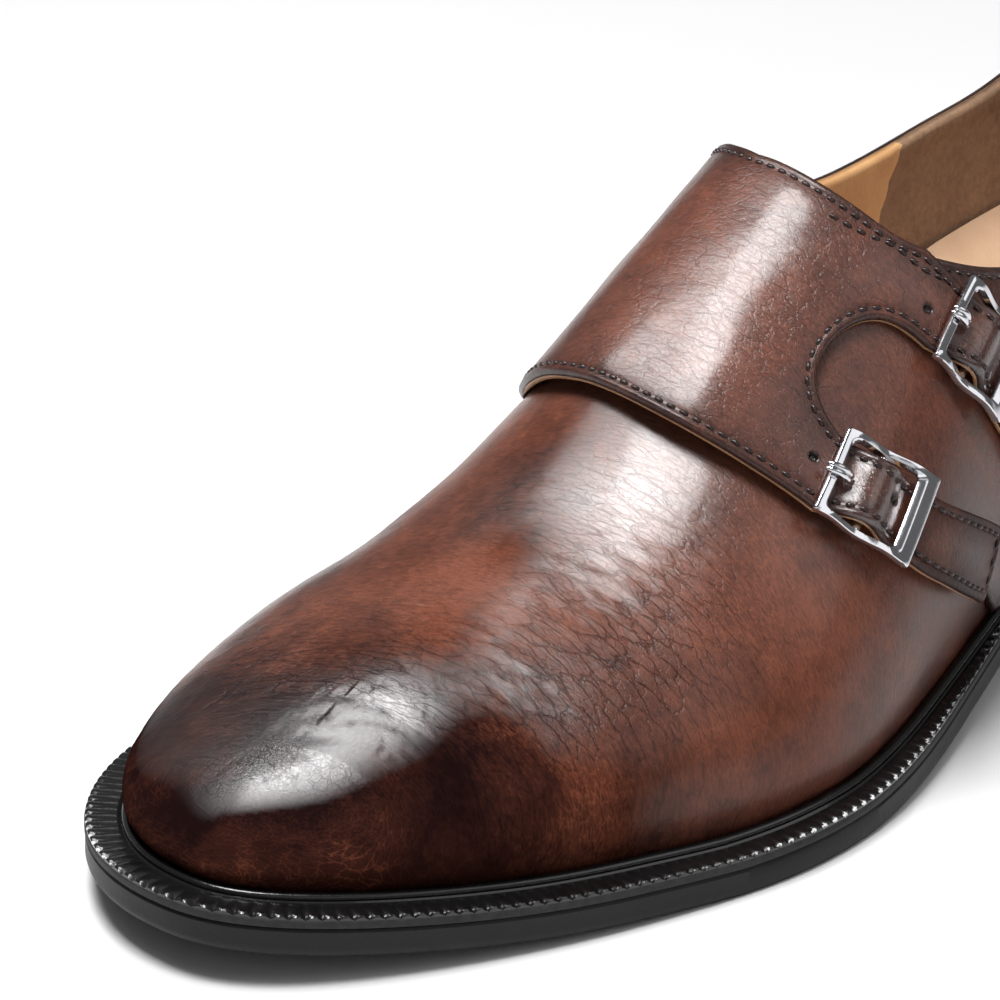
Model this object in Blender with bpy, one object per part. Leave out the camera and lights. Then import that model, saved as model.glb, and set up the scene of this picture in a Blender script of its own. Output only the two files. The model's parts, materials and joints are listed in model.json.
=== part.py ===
"""A left double monk-strap shoe, standing empty on its sole.

+Z is up, the toe points along -Y, the buckled outer side is +X, and the floor is z = 0. Sizes are
millimetres, as a shoemaker gives them, and become metres only when a mesh is made.

The shoe hangs on one surface, the last. A point on it has a station, the distance along the shoe from
the back of the heel, and an angle round the section: 0 at the outer feather line, 90 on the ridge of
the instep, 180 at the inner feather line. Behind the heel axis and ahead of the toe axis the sections
fan round that axis, so the station runs on as an arc. The upper, the quarters and the flap are cut from
that one surface, each at its own distance from it.
"""

import bpy
import bmesh
import numpy as np
from mathutils import Vector
from mathutils.geometry import delaunay_2d_cdt

MM = 0.001
SHOE = "double_monk_shoe"

# Driving sizes, in millimetres
SOLE_LENGTH = 303.0
HEEL_AXIS = 35.0
TOE_AXIS = 235.0
LAST_BACK = 2.5
LAST_TIP = 296.0
HEEL_PITCH = 31.5
TOE_PITCH = 43.0
HEEL_ROUND = 2.15
TOE_ROUND = 2.2
GAP = 0.3
RUN_STEP = 0.25
ANGLE_STEP = 0.8
FAN_MARGIN = 0.3

OUTSOLE_THICK = 5.2
OUTSOLE_CHAMFER = 0.9
BAND_THICK = 2.7
BEAD_WIDTH = 2.1
BEAD_RISE = 1.2
WELT_GROOVE = 0.6
FEATHER_RISE = 9.0
SHELF_RISE = 7.5
INSOLE_THICK = 2.6
TREAD_BARS = 9
TREAD_FIRST = 172.0
TREAD_PITCH = 11.0
TREAD_WIDTH = 3.0
TREAD_DEPTH = 1.2
HEEL_BREAST = 68.0
BREAST_CORNER = 2.0
BREAST_HOLLOW = 5.0
HEEL_LIFT = 6.0
HEEL_BLOCK_INSET = 1.0
HEEL_TOP_INSET = 0.3

UPPER_WALL = 1.6
QUARTER_OFF = 0.5
QUARTER_WALL = 1.3
FLAP_OVER_QUARTER = 2.3
FLAP_WALL = 2.2
FLAP_STAND_OFF = 2.3
STRAP_BUMP = 2.8
STRAP_BUMP_REACH = 7.0
FLAP_DOUBLED_FROM = 100.0
FLAP_DOUBLED_BY = 140.0
FLAP_RAISED_BY = 188.0
FLAP_LAP_FROM = 72.0
FLAP_LAP_BY = 104.0
FLAP_RIDGE_OUTER = (56.0, 76.0)
FLAP_RIDGE_INNER = (104.0, 128.0)
FLAP_SINGLE_INNER = (112.0, 140.0)
SEAM_HALF_GAP = 0.2
PANEL_FOOT = 0.6
PANEL_SPACING = 6.0
QUARTER_SPACING = 6.5
FRONT_SPACING = 5.0
KEYHOLE_SPACING = 3.0
STRAP_SPACING = 3.2
BUMP_SPACING = 2.5
SIDE_SEAM_FOOT = 131.0
REAR_STRAP_ROOT = 139.0

BUCKLE_HALF_LENGTH = 10.0
BUCKLE_HALF_WIDTH = 8.75
THIN_BAR = 2.0
WIDE_BAR = 4.2
RAIL_WIDTH = 1.85
BUCKLE_LOW = 5.1
BUCKLE_THICK = 1.6
BUCKLE_DIP = 1.7
CENTRE_BAR_AT = -1.0
CENTRE_BAR_RADIUS = 1.1
CENTRE_BAR_HEIGHT = 3.3
BUCKLE_OUTER_ROUND = 2.0
BUCKLE_INNER_ROUND = 1.3

LAST_COLUMNS = ("station", "outer", "inner", "spine", "plan_round", "top_round", "belly")
LAST_ROWS = (
    (35.0, 31.5, 31.5, 0.0, 2.3, 2.3, 4.0),
    (75.0, 32.4, 29.2, -0.5, 2.25, 2.2, 4.6),
    (115.0, 35.0, 26.7, -0.8, 2.15, 2.0, 5.1),
    (150.0, 43.4, 30.1, -0.6, 2.05, 1.9, 5.1),
    (180.0, 50.9, 38.4, -0.7, 2.0, 1.5, 5.1),
    (205.0, 51.1, 40.0, -1.1, 2.05, 1.75, 5.1),
    (235.0, 42.3, 43.5, -1.6, 2.15, 2.1, 5.1),
    (265.0, 32.0, 43.5, -2.6, 2.2, 2.15, 5.1),
    (300.0, 21.9, 40.1, -2.6, 2.2, 2.2, 5.1),
)
CROWN_COLUMNS = ("station", "height")
CROWN_ROWS = (
    (0.0, 116.0),
    (35.0, 117.0),
    (65.0, 117.0),
    (95.0, 116.0),
    (125.0, 110.0),
    (155.0, 93.2),
    (180.0, 75.0),
    (205.0, 57.0),
    (230.0, 45.0),
    (260.0, 35.3),
    (300.0, 26.6),
)
SOLE_COLUMNS = ("station", "underside", "welt")
SOLE_ROWS = (
    (-20.0, 20.5, 2.0),
    (25.0, 20.5, 2.0),
    (60.0, 20.5, 2.0),
    (85.0, 18.0, 2.4),
    (120.0, 7.9, 3.5),
    (150.0, 2.7, 5.0),
    (180.0, 0.3, 6.3),
    (205.0, -0.4, 7.0),
    (230.0, 0.6, 7.6),
    (255.0, 2.0, 8.0),
    (280.0, 4.5, 8.3),
    (310.0, 8.3, 8.3),
)
# The topline and the pattern lines are drawn on the last as run and angle.
COLLAR_COLUMNS = ("run", "outer", "inner")
COLLAR_ROWS = (
    (-14.5, 29.8, 30.0),
    (0.0, 29.4, 29.6),
    (15.0, 27.0, 27.5),
    (30.0, 23.5, 24.3),
    (45.0, 21.4, 22.5),
    (60.0, 21.1, 22.6),
    (75.0, 22.8, 23.4),
    (90.0, 27.0, 25.9),
    (102.0, 31.8, 29.6),
    (114.0, 37.6, 35.3),
    (126.0, 43.1, 43.3),
    (135.8, 50.2, 54.5),
    (142.6, 58.5, 68.0),
    (145.3, 66.2, 75.5),
    (147.2, 75.4, 83.0),
    (148.2, 90.0, 90.0),
)
# Sections are cut close together where the topline swings round over the instep.
THROAT_RUNS = (136.0, 140.0, 143.0, 145.3, 147.2)
PATTERN_COLUMNS = ("run", "angle")
QUARTER_FRONT_ROWS = (
    (142.6, 58.5),
    (150.0, 67.0),
    (165.0, 68.5),
    (177.0, 63.0),
    (179.0, 54.0),
    (173.0, 43.0),
    (165.0, 32.5),
    (155.0, 23.0),
    (146.0, 14.0),
    (138.0, 7.0),
    (131.0, 0.6),
)
FLAP_FRONT_ROWS = (
    (135.0, 179.4),
    (145.0, 169.5),
    (158.0, 157.0),
    (170.0, 144.5),
    (179.0, 133.0),
    (184.0, 124.5),
    (186.8, 117.5),
    (188.5, 110.5),
    (189.5, 103.5),
    (190.2, 94.0),
    (190.4, 84.5),
    (189.6, 73.5),
    (187.0, 63.5),
)
KEYHOLE_ROWS = (
    (170.2, 54.5),
    (168.3, 58.4),
    (163.9, 59.4),
    (158.8, 58.0),
    (153.8, 54.5),
    (150.6, 50.2),
)
STRAP_COLUMNS = ("run", "angle", "half_width")
STRAP_FRONT_ROWS = (
    (175.7, 49.8, 7.3),
    (173.2, 46.1, 6.5),
    (170.4, 41.8, 6.1),
    (167.6, 37.6, 6.2),
    (165.0, 33.9, 6.5),
    (161.2, 29.0, 6.8),
    (157.0, 24.6, 6.9),
    (149.5, 18.0, 7.1),
    (142.0, 12.6, 7.1),
)
STRAP_REAR_ROWS = (
    (142.4, 46.2, 7.2),
    (139.9, 42.3, 6.5),
    (137.3, 38.1, 6.1),
    (134.8, 34.3, 6.2),
    (132.3, 30.8, 6.5),
    (129.2, 26.9, 6.8),
    (125.8, 22.6, 6.9),
    (120.0, 15.4, 7.1),
    (117.6, 12.6, 7.1),
)
# A prong from its hole in the strap, over the thin bar, to its tip.
PRONG_COLUMNS = ("along", "height", "radius")
PRONG_ROWS = (
    (-4.6, 7.3, 0.8),
    (-6.3, 7.7, 0.8),
    (-8.2, 7.8, 0.8),
    (-10.0, 7.7, 0.75),
    (-11.3, 7.2, 0.6),
)


def named_columns(names, rows):
    return dict(zip(names, np.array(rows).T))


LAST = named_columns(LAST_COLUMNS, LAST_ROWS)
CROWN = named_columns(CROWN_COLUMNS, CROWN_ROWS)
SOLE = named_columns(SOLE_COLUMNS, SOLE_ROWS)
COLLAR = named_columns(COLLAR_COLUMNS, COLLAR_ROWS)
QUARTER_FRONT = named_columns(PATTERN_COLUMNS, QUARTER_FRONT_ROWS)
FLAP_FRONT = named_columns(PATTERN_COLUMNS, FLAP_FRONT_ROWS)
KEYHOLE = named_columns(PATTERN_COLUMNS, KEYHOLE_ROWS)
STRAP_FRONT = named_columns(STRAP_COLUMNS, STRAP_FRONT_ROWS)
STRAP_REAR = named_columns(STRAP_COLUMNS, STRAP_REAR_ROWS)
PRONG = named_columns(PRONG_COLUMNS, PRONG_ROWS)
STRAP_BUCKLE_ROW = 2


def spline(x, y, at):
    """The natural cubic spline through (x, y)."""
    gap = np.diff(x)
    count = len(x)
    matrix = np.zeros((count, count))
    right = np.zeros(count)
    matrix[0, 0] = 1.0
    matrix[-1, -1] = 1.0
    for i in range(1, count - 1):
        matrix[i, i - 1] = gap[i - 1]
        matrix[i, i] = 2.0 * (gap[i - 1] + gap[i])
        matrix[i, i + 1] = gap[i]
        right[i] = 6.0 * ((y[i + 1] - y[i]) / gap[i] - (y[i] - y[i - 1]) / gap[i - 1])
    bend = np.linalg.solve(matrix, right)
    at = np.asarray(at, float)
    k = np.clip(np.searchsorted(x, at) - 1, 0, count - 2)
    after = at - x[k]
    before = x[k + 1] - at
    h = gap[k]
    curved = (bend[k] * before**3 + bend[k + 1] * after**3) / (6.0 * h)
    return curved + (y[k] / h - bend[k] * h / 6.0) * before + (y[k + 1] / h - bend[k + 1] * h / 6.0) * after


def read(table, name, station):
    """A column of a table between its rows."""
    return spline(table["station"], table[name], station)


def drawn_line(x, y, spacing):
    """A smooth line through points, sampled evenly along itself."""
    chord = np.concatenate([[0.0], np.cumsum(np.hypot(np.diff(x), np.diff(y)))])
    count = int(np.ceil(chord[-1] / spacing)) + 1
    at = np.linspace(0.0, chord[-1], count)
    return np.column_stack([spline(chord, x, at), spline(chord, y, at)])


# sin(a) cos(a)^3 is greatest at 30 degrees.
BELLY_PEAK = np.sin(np.pi / 6.0) * np.cos(np.pi / 6.0) ** 3
HEEL_BACK_RUN = HEEL_AXIS - HEEL_PITCH * np.pi / 2.0
TOE_TIP_RUN = TOE_AXIS + TOE_PITCH * np.pi / 2.0


def underside(station):
    """Height of the outsole's lower face: heel seat, arch, a flat tread on the floor, then toe spring."""
    return np.maximum(read(SOLE, "underside", station), 0.0)


def section_foot(run, side):
    """The feather point of one side of a section, as a ray from the spine: start, length, direction.
    The heel and the toe are quarters of a superellipse, x w cos^(2/n) and d sin^(2/n), tapered by the
    table's widths."""
    station = np.clip(run, HEEL_AXIS, TOE_AXIS)
    spine = read(LAST, "spine", station)
    heel = run < HEEL_AXIS
    turn = np.where(heel, (HEEL_AXIS - run) / HEEL_PITCH, np.maximum(run - TOE_AXIS, 0.0) / TOE_PITCH)
    turn = np.clip(turn, 0.0, np.pi / 2.0)
    depth = np.where(heel, LAST_BACK - HEEL_AXIS, LAST_TIP - TOE_AXIS)
    power = 2.0 / np.where(heel, HEEL_ROUND, TOE_ROUND)
    foot = station + depth * np.sin(turn) ** power
    at = np.maximum(foot, HEEL_AXIS)
    middle = np.where(heel, 0.0, read(LAST, "spine", at))
    width = np.where(side > 0, read(LAST, "outer", at) - middle, read(LAST, "inner", at) + middle)
    offset = np.where(heel, 0.0, middle - spine) + side * width * np.maximum(np.cos(turn), 0.0) ** power
    reach = np.hypot(offset, foot - station)
    return spine, station, reach, offset / reach, (foot - station) / reach


def last_surface(run, angle):
    """Points of the last. Each half section is a quarter of a superellipse from the feather line up to
    the spine, let out by a belly low down: plan reach r cos(a)^(2/n) + b sin(a) cos(a)^3 over its peak
    value, rise h sin(a)^(2/m)."""
    run, angle = np.broadcast_arrays(np.asarray(run, float), np.radians(np.asarray(angle, float)))
    side = np.where(np.cos(angle) >= 0.0, 1.0, -1.0)
    spine, station, reach, across, along = section_foot(run, side)
    cosine = np.abs(np.cos(angle))
    sine = np.abs(np.sin(angle))
    plan = reach * cosine ** (2.0 / read(LAST, "plan_round", station))
    plan = plan + read(LAST, "belly", station) * sine * cosine**3 / BELLY_PEAK
    rise = sine ** (2.0 / read(LAST, "top_round", station))
    back = station + along * plan
    foot = underside(station + along * reach) + FEATHER_RISE
    crown = read(CROWN, "height", back)
    return np.stack([spine + across * plan, SOLE_LENGTH / 2.0 - back, foot + (crown - foot) * rise], -1)


def last_normal(run, angle):
    """Outward unit normals by central differences. On the spine the fans share their axis's normal."""
    run, angle = np.broadcast_arrays(np.asarray(run, float), np.asarray(angle, float))
    on_spine = np.abs(angle - 90.0) < 0.05
    near = np.where(on_spine, np.clip(run, HEEL_AXIS + FAN_MARGIN, TOE_AXIS - FAN_MARGIN), run)
    near = np.clip(near, HEEL_BACK_RUN + FAN_MARGIN, TOE_TIP_RUN - FAN_MARGIN)
    angle = np.clip(angle, 1.0, 179.0)
    forward = last_surface(near + RUN_STEP, angle) - last_surface(near - RUN_STEP, angle)
    up = last_surface(near, angle + ANGLE_STEP) - last_surface(near, angle - ANGLE_STEP)
    normal = np.cross(up, forward)
    return normal / np.linalg.norm(normal, axis=-1, keepdims=True)


def off_last(run, angle, distance):
    """Points of the surface that lies this distance outside the last."""
    distance = np.broadcast_to(np.asarray(distance, float), np.broadcast(run, angle).shape)
    return last_surface(run, angle) + last_normal(run, angle) * distance[..., None]


# ---- meshes

SHOE_COLLECTION = bpy.data.collections.new(SHOE)
CUTTER_COLLECTION = bpy.data.collections.new(SHOE + "_cutters")


def clear_scene():
    for obj in list(bpy.data.objects):
        bpy.data.objects.remove(obj, do_unlink=True)
    bpy.context.scene.collection.children.link(SHOE_COLLECTION)
    bpy.context.scene.collection.children.link(CUTTER_COLLECTION)


def material(name, colour, roughness, metallic=0.0):
    made = bpy.data.materials.new(name)
    made.use_nodes = True
    shader = made.node_tree.nodes["Principled BSDF"]
    shader.inputs["Base Color"].default_value = (*colour, 1.0)
    shader.inputs["Roughness"].default_value = roughness
    shader.inputs["Metallic"].default_value = metallic
    return made


def mesh_object(name, points, faces, finish, collection=SHOE_COLLECTION):
    """A mesh object at the origin, from points in millimetres."""
    mesh = bpy.data.meshes.new(name)
    mesh.from_pydata([tuple(p) for p in np.asarray(points) * MM], [], [tuple(f) for f in faces])
    mesh.validate()
    if finish:
        mesh.materials.append(finish)
    obj = bpy.data.objects.new(name, mesh)
    collection.objects.link(obj)
    return obj


def face_outwards(obj):
    """Welds coincident points and turns the faces of a closed body outwards."""
    work = bmesh.new()
    work.from_mesh(obj.data)
    bmesh.ops.remove_doubles(work, verts=work.verts, dist=1e-6)
    bmesh.ops.dissolve_degenerate(work, edges=work.edges, dist=1e-6)
    bmesh.ops.recalc_face_normals(work, faces=work.faces)
    if work.calc_volume(signed=True) < 0.0:
        bmesh.ops.reverse_faces(work, faces=work.faces)
    work.to_mesh(obj.data)
    work.free()
    obj.data.shade_smooth()
    obj.data.set_sharp_from_angle(angle=np.radians(40.0))


def weld(points, faces):
    """One index for each distinct point, and the faces that still have three corners or more."""
    _, first, index = np.unique(np.round(points, 3), axis=0, return_index=True, return_inverse=True)
    index = index.reshape(-1)
    kept = []
    for face in faces:
        ring = [index[c] for c in face]
        ring = [c for i, c in enumerate(ring) if c != ring[i - 1]]
        if len(set(ring)) == len(ring) and len(ring) > 2:
            kept.append(ring)
    return first, kept


def wall_between(name, outer, inner, faces, finish):
    """A closed wall: the outer sheet, the inner sheet turned round, and a strip along each open edge."""
    first, sheet = weld(outer, faces)
    count = len(first)
    once = {}
    for face in sheet:
        for i, end in enumerate(face):
            once[(face[i - 1], end)] = True
    rim = [(a, b) for a, b in once if (b, a) not in once]
    solid = [tuple(face) for face in sheet]
    solid += [tuple(c + count for c in reversed(face)) for face in sheet]
    solid += [(b, a, a + count, b + count) for a, b in rim]
    obj = mesh_object(name, np.vstack([outer[first], inner[first]]), solid, finish)
    face_outwards(obj)
    return obj


def ring_faces(rows, count):
    """Quads between closed rows of equal count."""
    faces = []
    for r in range(rows - 1):
        for i in range(count):
            j = (i + 1) % count
            faces.append((r * count + i, r * count + j, (r + 1) * count + j, (r + 1) * count + i))
    return faces


def slab(name, rows, finish):
    """A closed body through closed rows of points, the first and last lying on the spine."""
    obj = mesh_object(name, np.vstack(rows), ring_faces(len(rows), len(rows[0])), finish)
    face_outwards(obj)
    return obj


def one_side_runs(fan, body):
    """Runs from the heel's back to the toe's tip: fans at both ends and even stations between."""
    heel = np.linspace(HEEL_BACK_RUN, HEEL_AXIS, fan + 1)[:-1]
    middle = np.linspace(HEEL_AXIS, TOE_AXIS, body + 1)[:-1]
    toe = np.linspace(TOE_AXIS, TOE_TIP_RUN, fan * 2 + 1)
    return np.concatenate([heel, middle, toe])


def round_trip(runs):
    """Runs and sides for a closed ring: forward on the outer side, back on the inner side."""
    back = runs[-2:0:-1]
    return np.concatenate([runs, back]), np.concatenate([np.ones(len(runs)), -np.ones(len(back))])


def feather_ring(runs, sides):
    return last_surface(runs, np.where(sides > 0, 0.0, 180.0))


def spine_ring(runs):
    """The spine under each section, flat on plan."""
    station = np.clip(runs, HEEL_AXIS, TOE_AXIS)
    return np.stack([read(LAST, "spine", station), SOLE_LENGTH / 2.0 - station], -1)


def edge_ring(feather, outward):
    """The feather line moved outward on plan, by one distance or by one for each point."""
    plan = feather[:, :2]
    along = np.roll(plan, -1, 0) - np.roll(plan, 1, 0)
    out = np.stack([along[:, 1], -along[:, 0]], -1)
    out = out / np.linalg.norm(out, axis=1, keepdims=True)
    turns = np.sum(plan[:, 0] * np.roll(plan[:, 1], -1) - np.roll(plan[:, 0], -1) * plan[:, 1])
    return plan + out * np.sign(turns) * np.broadcast_to(outward, len(plan))[:, None]


def raise_to(plan, rise):
    """Plan points set this far above the sole's underside."""
    height = underside(SOLE_LENGTH / 2.0 - plan[:, 1]) + rise
    return np.column_stack([plan, height])


# ---- sole


def sole_rows(feather, runs, outward, rise, shrink=()):
    """Closed rows at one height above the underside: the edge, then the edge drawn in to the spine."""
    edge = edge_ring(feather, outward)
    spine = spine_ring(runs)
    rows = [raise_to(edge, rise)]
    for part in shrink:
        rows.append(raise_to(spine + (edge - spine) * part, rise))
    return rows


def welt_widths(feather):
    return read(SOLE, "welt", SOLE_LENGTH / 2.0 - feather[:, 1])


def make_outsole(finish):
    """The outsole follows the welt's edge, with a small chamfer under it."""
    runs, sides = round_trip(one_side_runs(6, 22))
    feather = feather_ring(runs, sides)
    welt = welt_widths(feather)
    bottom = sole_rows(feather, runs, welt - OUTSOLE_CHAMFER, 0.0, (0.6, 0.0))
    side = sole_rows(feather, runs, welt, OUTSOLE_CHAMFER)
    top = sole_rows(feather, runs, welt, OUTSOLE_THICK, (0.6, 0.0))
    return slab("outsole", bottom[::-1] + side + top, finish)


def cut_tread(outsole):
    """Shallow bars across the forepart's tread, short of both edges."""
    for i in range(TREAD_BARS):
        station = TREAD_FIRST + i * TREAD_PITCH
        outer, inner = last_surface(station, np.array([0.0, 180.0]))[:, 0]
        slope = float(underside(station + 2.0) - underside(station - 2.0)) / 4.0
        bpy.ops.mesh.primitive_cube_add(size=1.0)
        bar = bpy.context.active_object
        bar.name = "tread_cutter_%02d" % i
        bar.scale = ((outer - inner) * MM, TREAD_WIDTH * MM, 2.0 * TREAD_DEPTH * MM)
        bar.rotation_euler = (-np.arctan(slope), 0.0, 0.0)
        place = np.array([(outer + inner) / 2.0, SOLE_LENGTH / 2.0 - station, underside(station)])
        bar.location = place * MM
        as_cutter(bar)
        cut = outsole.modifiers.new(bar.name, "BOOLEAN")
        cut.operation = "DIFFERENCE"
        cut.solver = "EXACT"
        cut.object = bar


def as_cutter(obj):
    for held in list(obj.users_collection):
        held.objects.unlink(obj)
    CUTTER_COLLECTION.objects.link(obj)
    obj.hide_render = True
    obj.display_type = "WIRE"


def make_welt(finish):
    """Midsole and storm welt moulded in one: a sanded side band, a rim, a groove, then a bead that
    stands against the upper. Inside the bead a flat shelf carries the upper and the insole."""
    runs, sides = round_trip(one_side_runs(7, 26))
    feather = feather_ring(runs, sides)
    welt = welt_widths(feather)
    rim = OUTSOLE_THICK + BAND_THICK
    groove = np.minimum(BEAD_WIDTH + 0.4, welt - 0.3)
    bead = np.minimum(BEAD_WIDTH, welt - 0.5)
    rows = sole_rows(feather, runs, welt, OUTSOLE_THICK + GAP, (0.0,))[::-1]
    rows += sole_rows(feather, runs, welt - 0.1, rim)
    rows += sole_rows(feather, runs, groove, rim - WELT_GROOVE)
    rows += sole_rows(feather, runs, bead, rim + BEAD_RISE * 0.6)
    rows += sole_rows(feather, runs, bead * 0.6, rim + BEAD_RISE)
    rows += sole_rows(feather, runs, GAP + 0.1, rim + BEAD_RISE * 0.7)
    rows += sole_rows(feather, runs, GAP + 0.1, SHELF_RISE, (0.0,))
    return slab("welt", rows, finish)


def make_insole(finish):
    """The footbed lies on the welt's shelf, inside the upper's wall."""
    runs, sides = round_trip(one_side_runs(5, 18))
    feather = feather_ring(runs, sides)
    inset = -(UPPER_WALL + GAP)
    rows = sole_rows(feather, runs, inset, SHELF_RISE + GAP, (0.0,))[::-1]
    rows += sole_rows(feather, runs, inset, SHELF_RISE + GAP + INSOLE_THICK, (0.5, 0.0))
    return slab("insole", rows, finish)


def heel_outline(inset):
    """Plan of the heel: the seat's outline back from the breast, closed by a hollowed breast line."""
    runs, sides = round_trip(one_side_runs(7, 24))
    feather = feather_ring(runs, sides)
    edge = edge_ring(feather, welt_widths(feather) - inset)
    station = SOLE_LENGTH / 2.0 - edge[:, 1]
    behind = station < HEEL_BREAST - BREAST_CORNER
    outer = edge[(sides > 0) & behind]
    inner = edge[(sides < 0) & behind]
    across = np.linspace(1.0, -1.0, 9)
    middle = (outer[-1, 0] + inner[0, 0]) / 2.0
    half = (outer[-1, 0] - inner[0, 0]) / 2.0
    breast = HEEL_BREAST - BREAST_HOLLOW * (1.0 - across**2)
    line = np.column_stack([middle + half * across, SOLE_LENGTH / 2.0 - breast])
    return np.vstack([outer, line, inner])


def heel_rows(inset, height):
    """The outline and the middle of the heel, at a height or, with none given, just under the outsole."""
    edge = heel_outline(inset)
    middle = np.tile([0.0, SOLE_LENGTH / 2.0 - (HEEL_AXIS + HEEL_BREAST) / 2.0], (len(edge), 1))
    if height is None:
        return [raise_to(edge, -GAP), raise_to(middle, -GAP)]
    return [np.column_stack([plan, np.full(len(edge), height)]) for plan in (edge, middle)]


def make_heel_block(finish):
    low = heel_rows(HEEL_BLOCK_INSET, HEEL_LIFT + GAP)
    return slab("heel_block", low[::-1] + heel_rows(HEEL_TOP_INSET, None), finish)


def make_heel_lift(finish):
    low = heel_rows(HEEL_BLOCK_INSET, 0.0)
    return slab("heel_lift", low[::-1] + heel_rows(HEEL_BLOCK_INSET, HEEL_LIFT), finish)


# ---- upper


def collar_line(side_name):
    """One side of the topline as run and angle, close enough to be read by straight interpolation."""
    return drawn_line(COLLAR["run"], COLLAR[side_name], 1.0)


def collar_angle(run, side_name):
    line = collar_line(side_name)
    return np.interp(run, line[:, 0], line[:, 1])


def upper_runs():
    heel = np.linspace(HEEL_BACK_RUN, HEEL_AXIS, 8)[:-1]
    quarters = np.linspace(HEEL_AXIS, THROAT_RUNS[0], 15)[:-1]
    throat = np.append(THROAT_RUNS, COLLAR["run"][-1])
    vamp = np.linspace(COLLAR["run"][-1], TOE_AXIS, 14)[1:-1]
    toe = np.linspace(TOE_AXIS, TOE_TIP_RUN, 12)
    return np.concatenate([heel, quarters, throat, vamp, toe])


def make_upper(finish):
    """Vamp, tongue, quarters' lining and counter in one lasted wall: a short skirt stands on the welt's
    shelf, then each section rises to the topline, or to the ridge where the upper is closed over."""
    runs = upper_runs()
    share = np.linspace(0.0, 1.0, 11)
    run_grid, share_grid = np.meshgrid(runs, share, indexing="ij")
    outer_parts = []
    inner_parts = []
    faces = []
    for side, name in ((1.0, "outer"), (-1.0, "inner")):
        up = share_grid * collar_angle(run_grid, name)
        angle = np.where(side > 0, up, 180.0 - up)
        outside = last_surface(run_grid, angle)
        inside = off_last(run_grid, angle, -UPPER_WALL)
        feather = outside[:, 0]
        plan_out = last_normal(runs, angle[:, 0])
        plan_out[:, 2] = 0.0
        plan_out = plan_out / np.linalg.norm(plan_out, axis=1, keepdims=True)
        drop = np.array([0.0, 0.0, FEATHER_RISE - SHELF_RISE - GAP])
        skirt = feather - drop
        skirt_inside = skirt - plan_out * UPPER_WALL
        outer_rows = np.concatenate([skirt[:, None], outside], axis=1)
        inner_rows = np.concatenate([skirt_inside[:, None], inside], axis=1)
        rows = outer_rows.shape[1]
        start = len(outer_parts) * len(runs) * rows
        for i in range(len(runs) - 1):
            for j in range(rows - 1):
                a = start + i * rows + j
                quad = (a, a + rows, a + rows + 1, a + 1)
                faces.append(quad if side > 0 else quad[::-1])
        outer_parts.append(outer_rows.reshape(-1, 3))
        inner_parts.append(inner_rows.reshape(-1, 3))
    return wall_between("upper", np.vstack(outer_parts), np.vstack(inner_parts), faces, finish)


def inside_outline(points, outline):
    """True for points inside a closed outline, by counting crossings to the right."""
    start = outline
    end = np.roll(outline, -1, axis=0)
    y = points[:, 1, None]
    spans = (start[:, 1] > y) != (end[:, 1] > y)
    rise = np.where(end[:, 1] == start[:, 1], 1.0, end[:, 1] - start[:, 1])
    x = start[:, 0] + (y - start[:, 1]) * (end[:, 0] - start[:, 0]) / rise
    return (np.sum(spans & (points[:, 0, None] < x), axis=1) % 2) == 1


def clear_of_outline(points, outline, margin):
    """True for points at least this far from every side of the outline."""
    start = outline[None]
    along = np.roll(outline, -1, axis=0)[None] - start
    reach = points[:, None] - start
    share = np.clip(np.sum(reach * along, -1) / np.sum(along**2, -1), 0.0, 1.0)
    return np.min(np.linalg.norm(reach - share[..., None] * along, axis=-1), axis=1) > margin


def lattice(outline, spacing):
    """Staggered points inside an outline, half a spacing or more from its sides."""
    low = outline.min(axis=0)
    high = outline.max(axis=0)
    x = np.arange(low[0], high[0], spacing)
    y = np.arange(low[1], high[1], spacing * 0.87)
    grid_x, grid_y = np.meshgrid(x, y)
    grid_x = grid_x + (np.arange(len(y)) % 2)[:, None] * spacing * 0.5
    points = np.column_stack([grid_x.reshape(-1), grid_y.reshape(-1)])
    points = points[inside_outline(points, outline)]
    return points[clear_of_outline(points, outline, spacing * 0.55)]


def triangulate(outline, inner_points):
    """Triangles of a flat pattern from its outline and points inside it."""
    points = np.vstack([outline, inner_points])
    edges = [(i, (i + 1) % len(outline)) for i in range(len(outline))]
    made = delaunay_2d_cdt([Vector(p) for p in points], edges, [], 1, 1e-6)
    return np.array([tuple(p) for p in made[0]]), [tuple(f) for f in made[2]]


def make_panel(name, pattern, low, thick, finish):
    """A leather panel lying on the last: its flat pattern, how far off the last its inner face lies,
    and how thick it is there."""
    flat, faces = pattern
    run = flat[:, 0]
    angle = flat[:, 1]
    under = low(run, angle)
    outer = off_last(run, angle, under + thick(run, angle))
    inner = off_last(run, angle, under)
    return wall_between(name, outer, inner, faces, finish)


def smooth_step(at, start, end):
    share = np.clip((at - start) / (end - start), 0.0, 1.0)
    return share * share * (3.0 - 2.0 * share)


def topline_between(side_name, start, end, spacing):
    """The part of the topline between two runs, from the first to the second."""
    line = collar_line(side_name)
    if side_name == "inner":
        line = line * [1.0, -1.0] + [0.0, 180.0]
    low, high = sorted((start, end))
    line = line[(line[:, 0] > low) & (line[:, 0] < high)]
    if start > end:
        line = line[::-1]
    return line[::max(1, int(spacing))]


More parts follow.
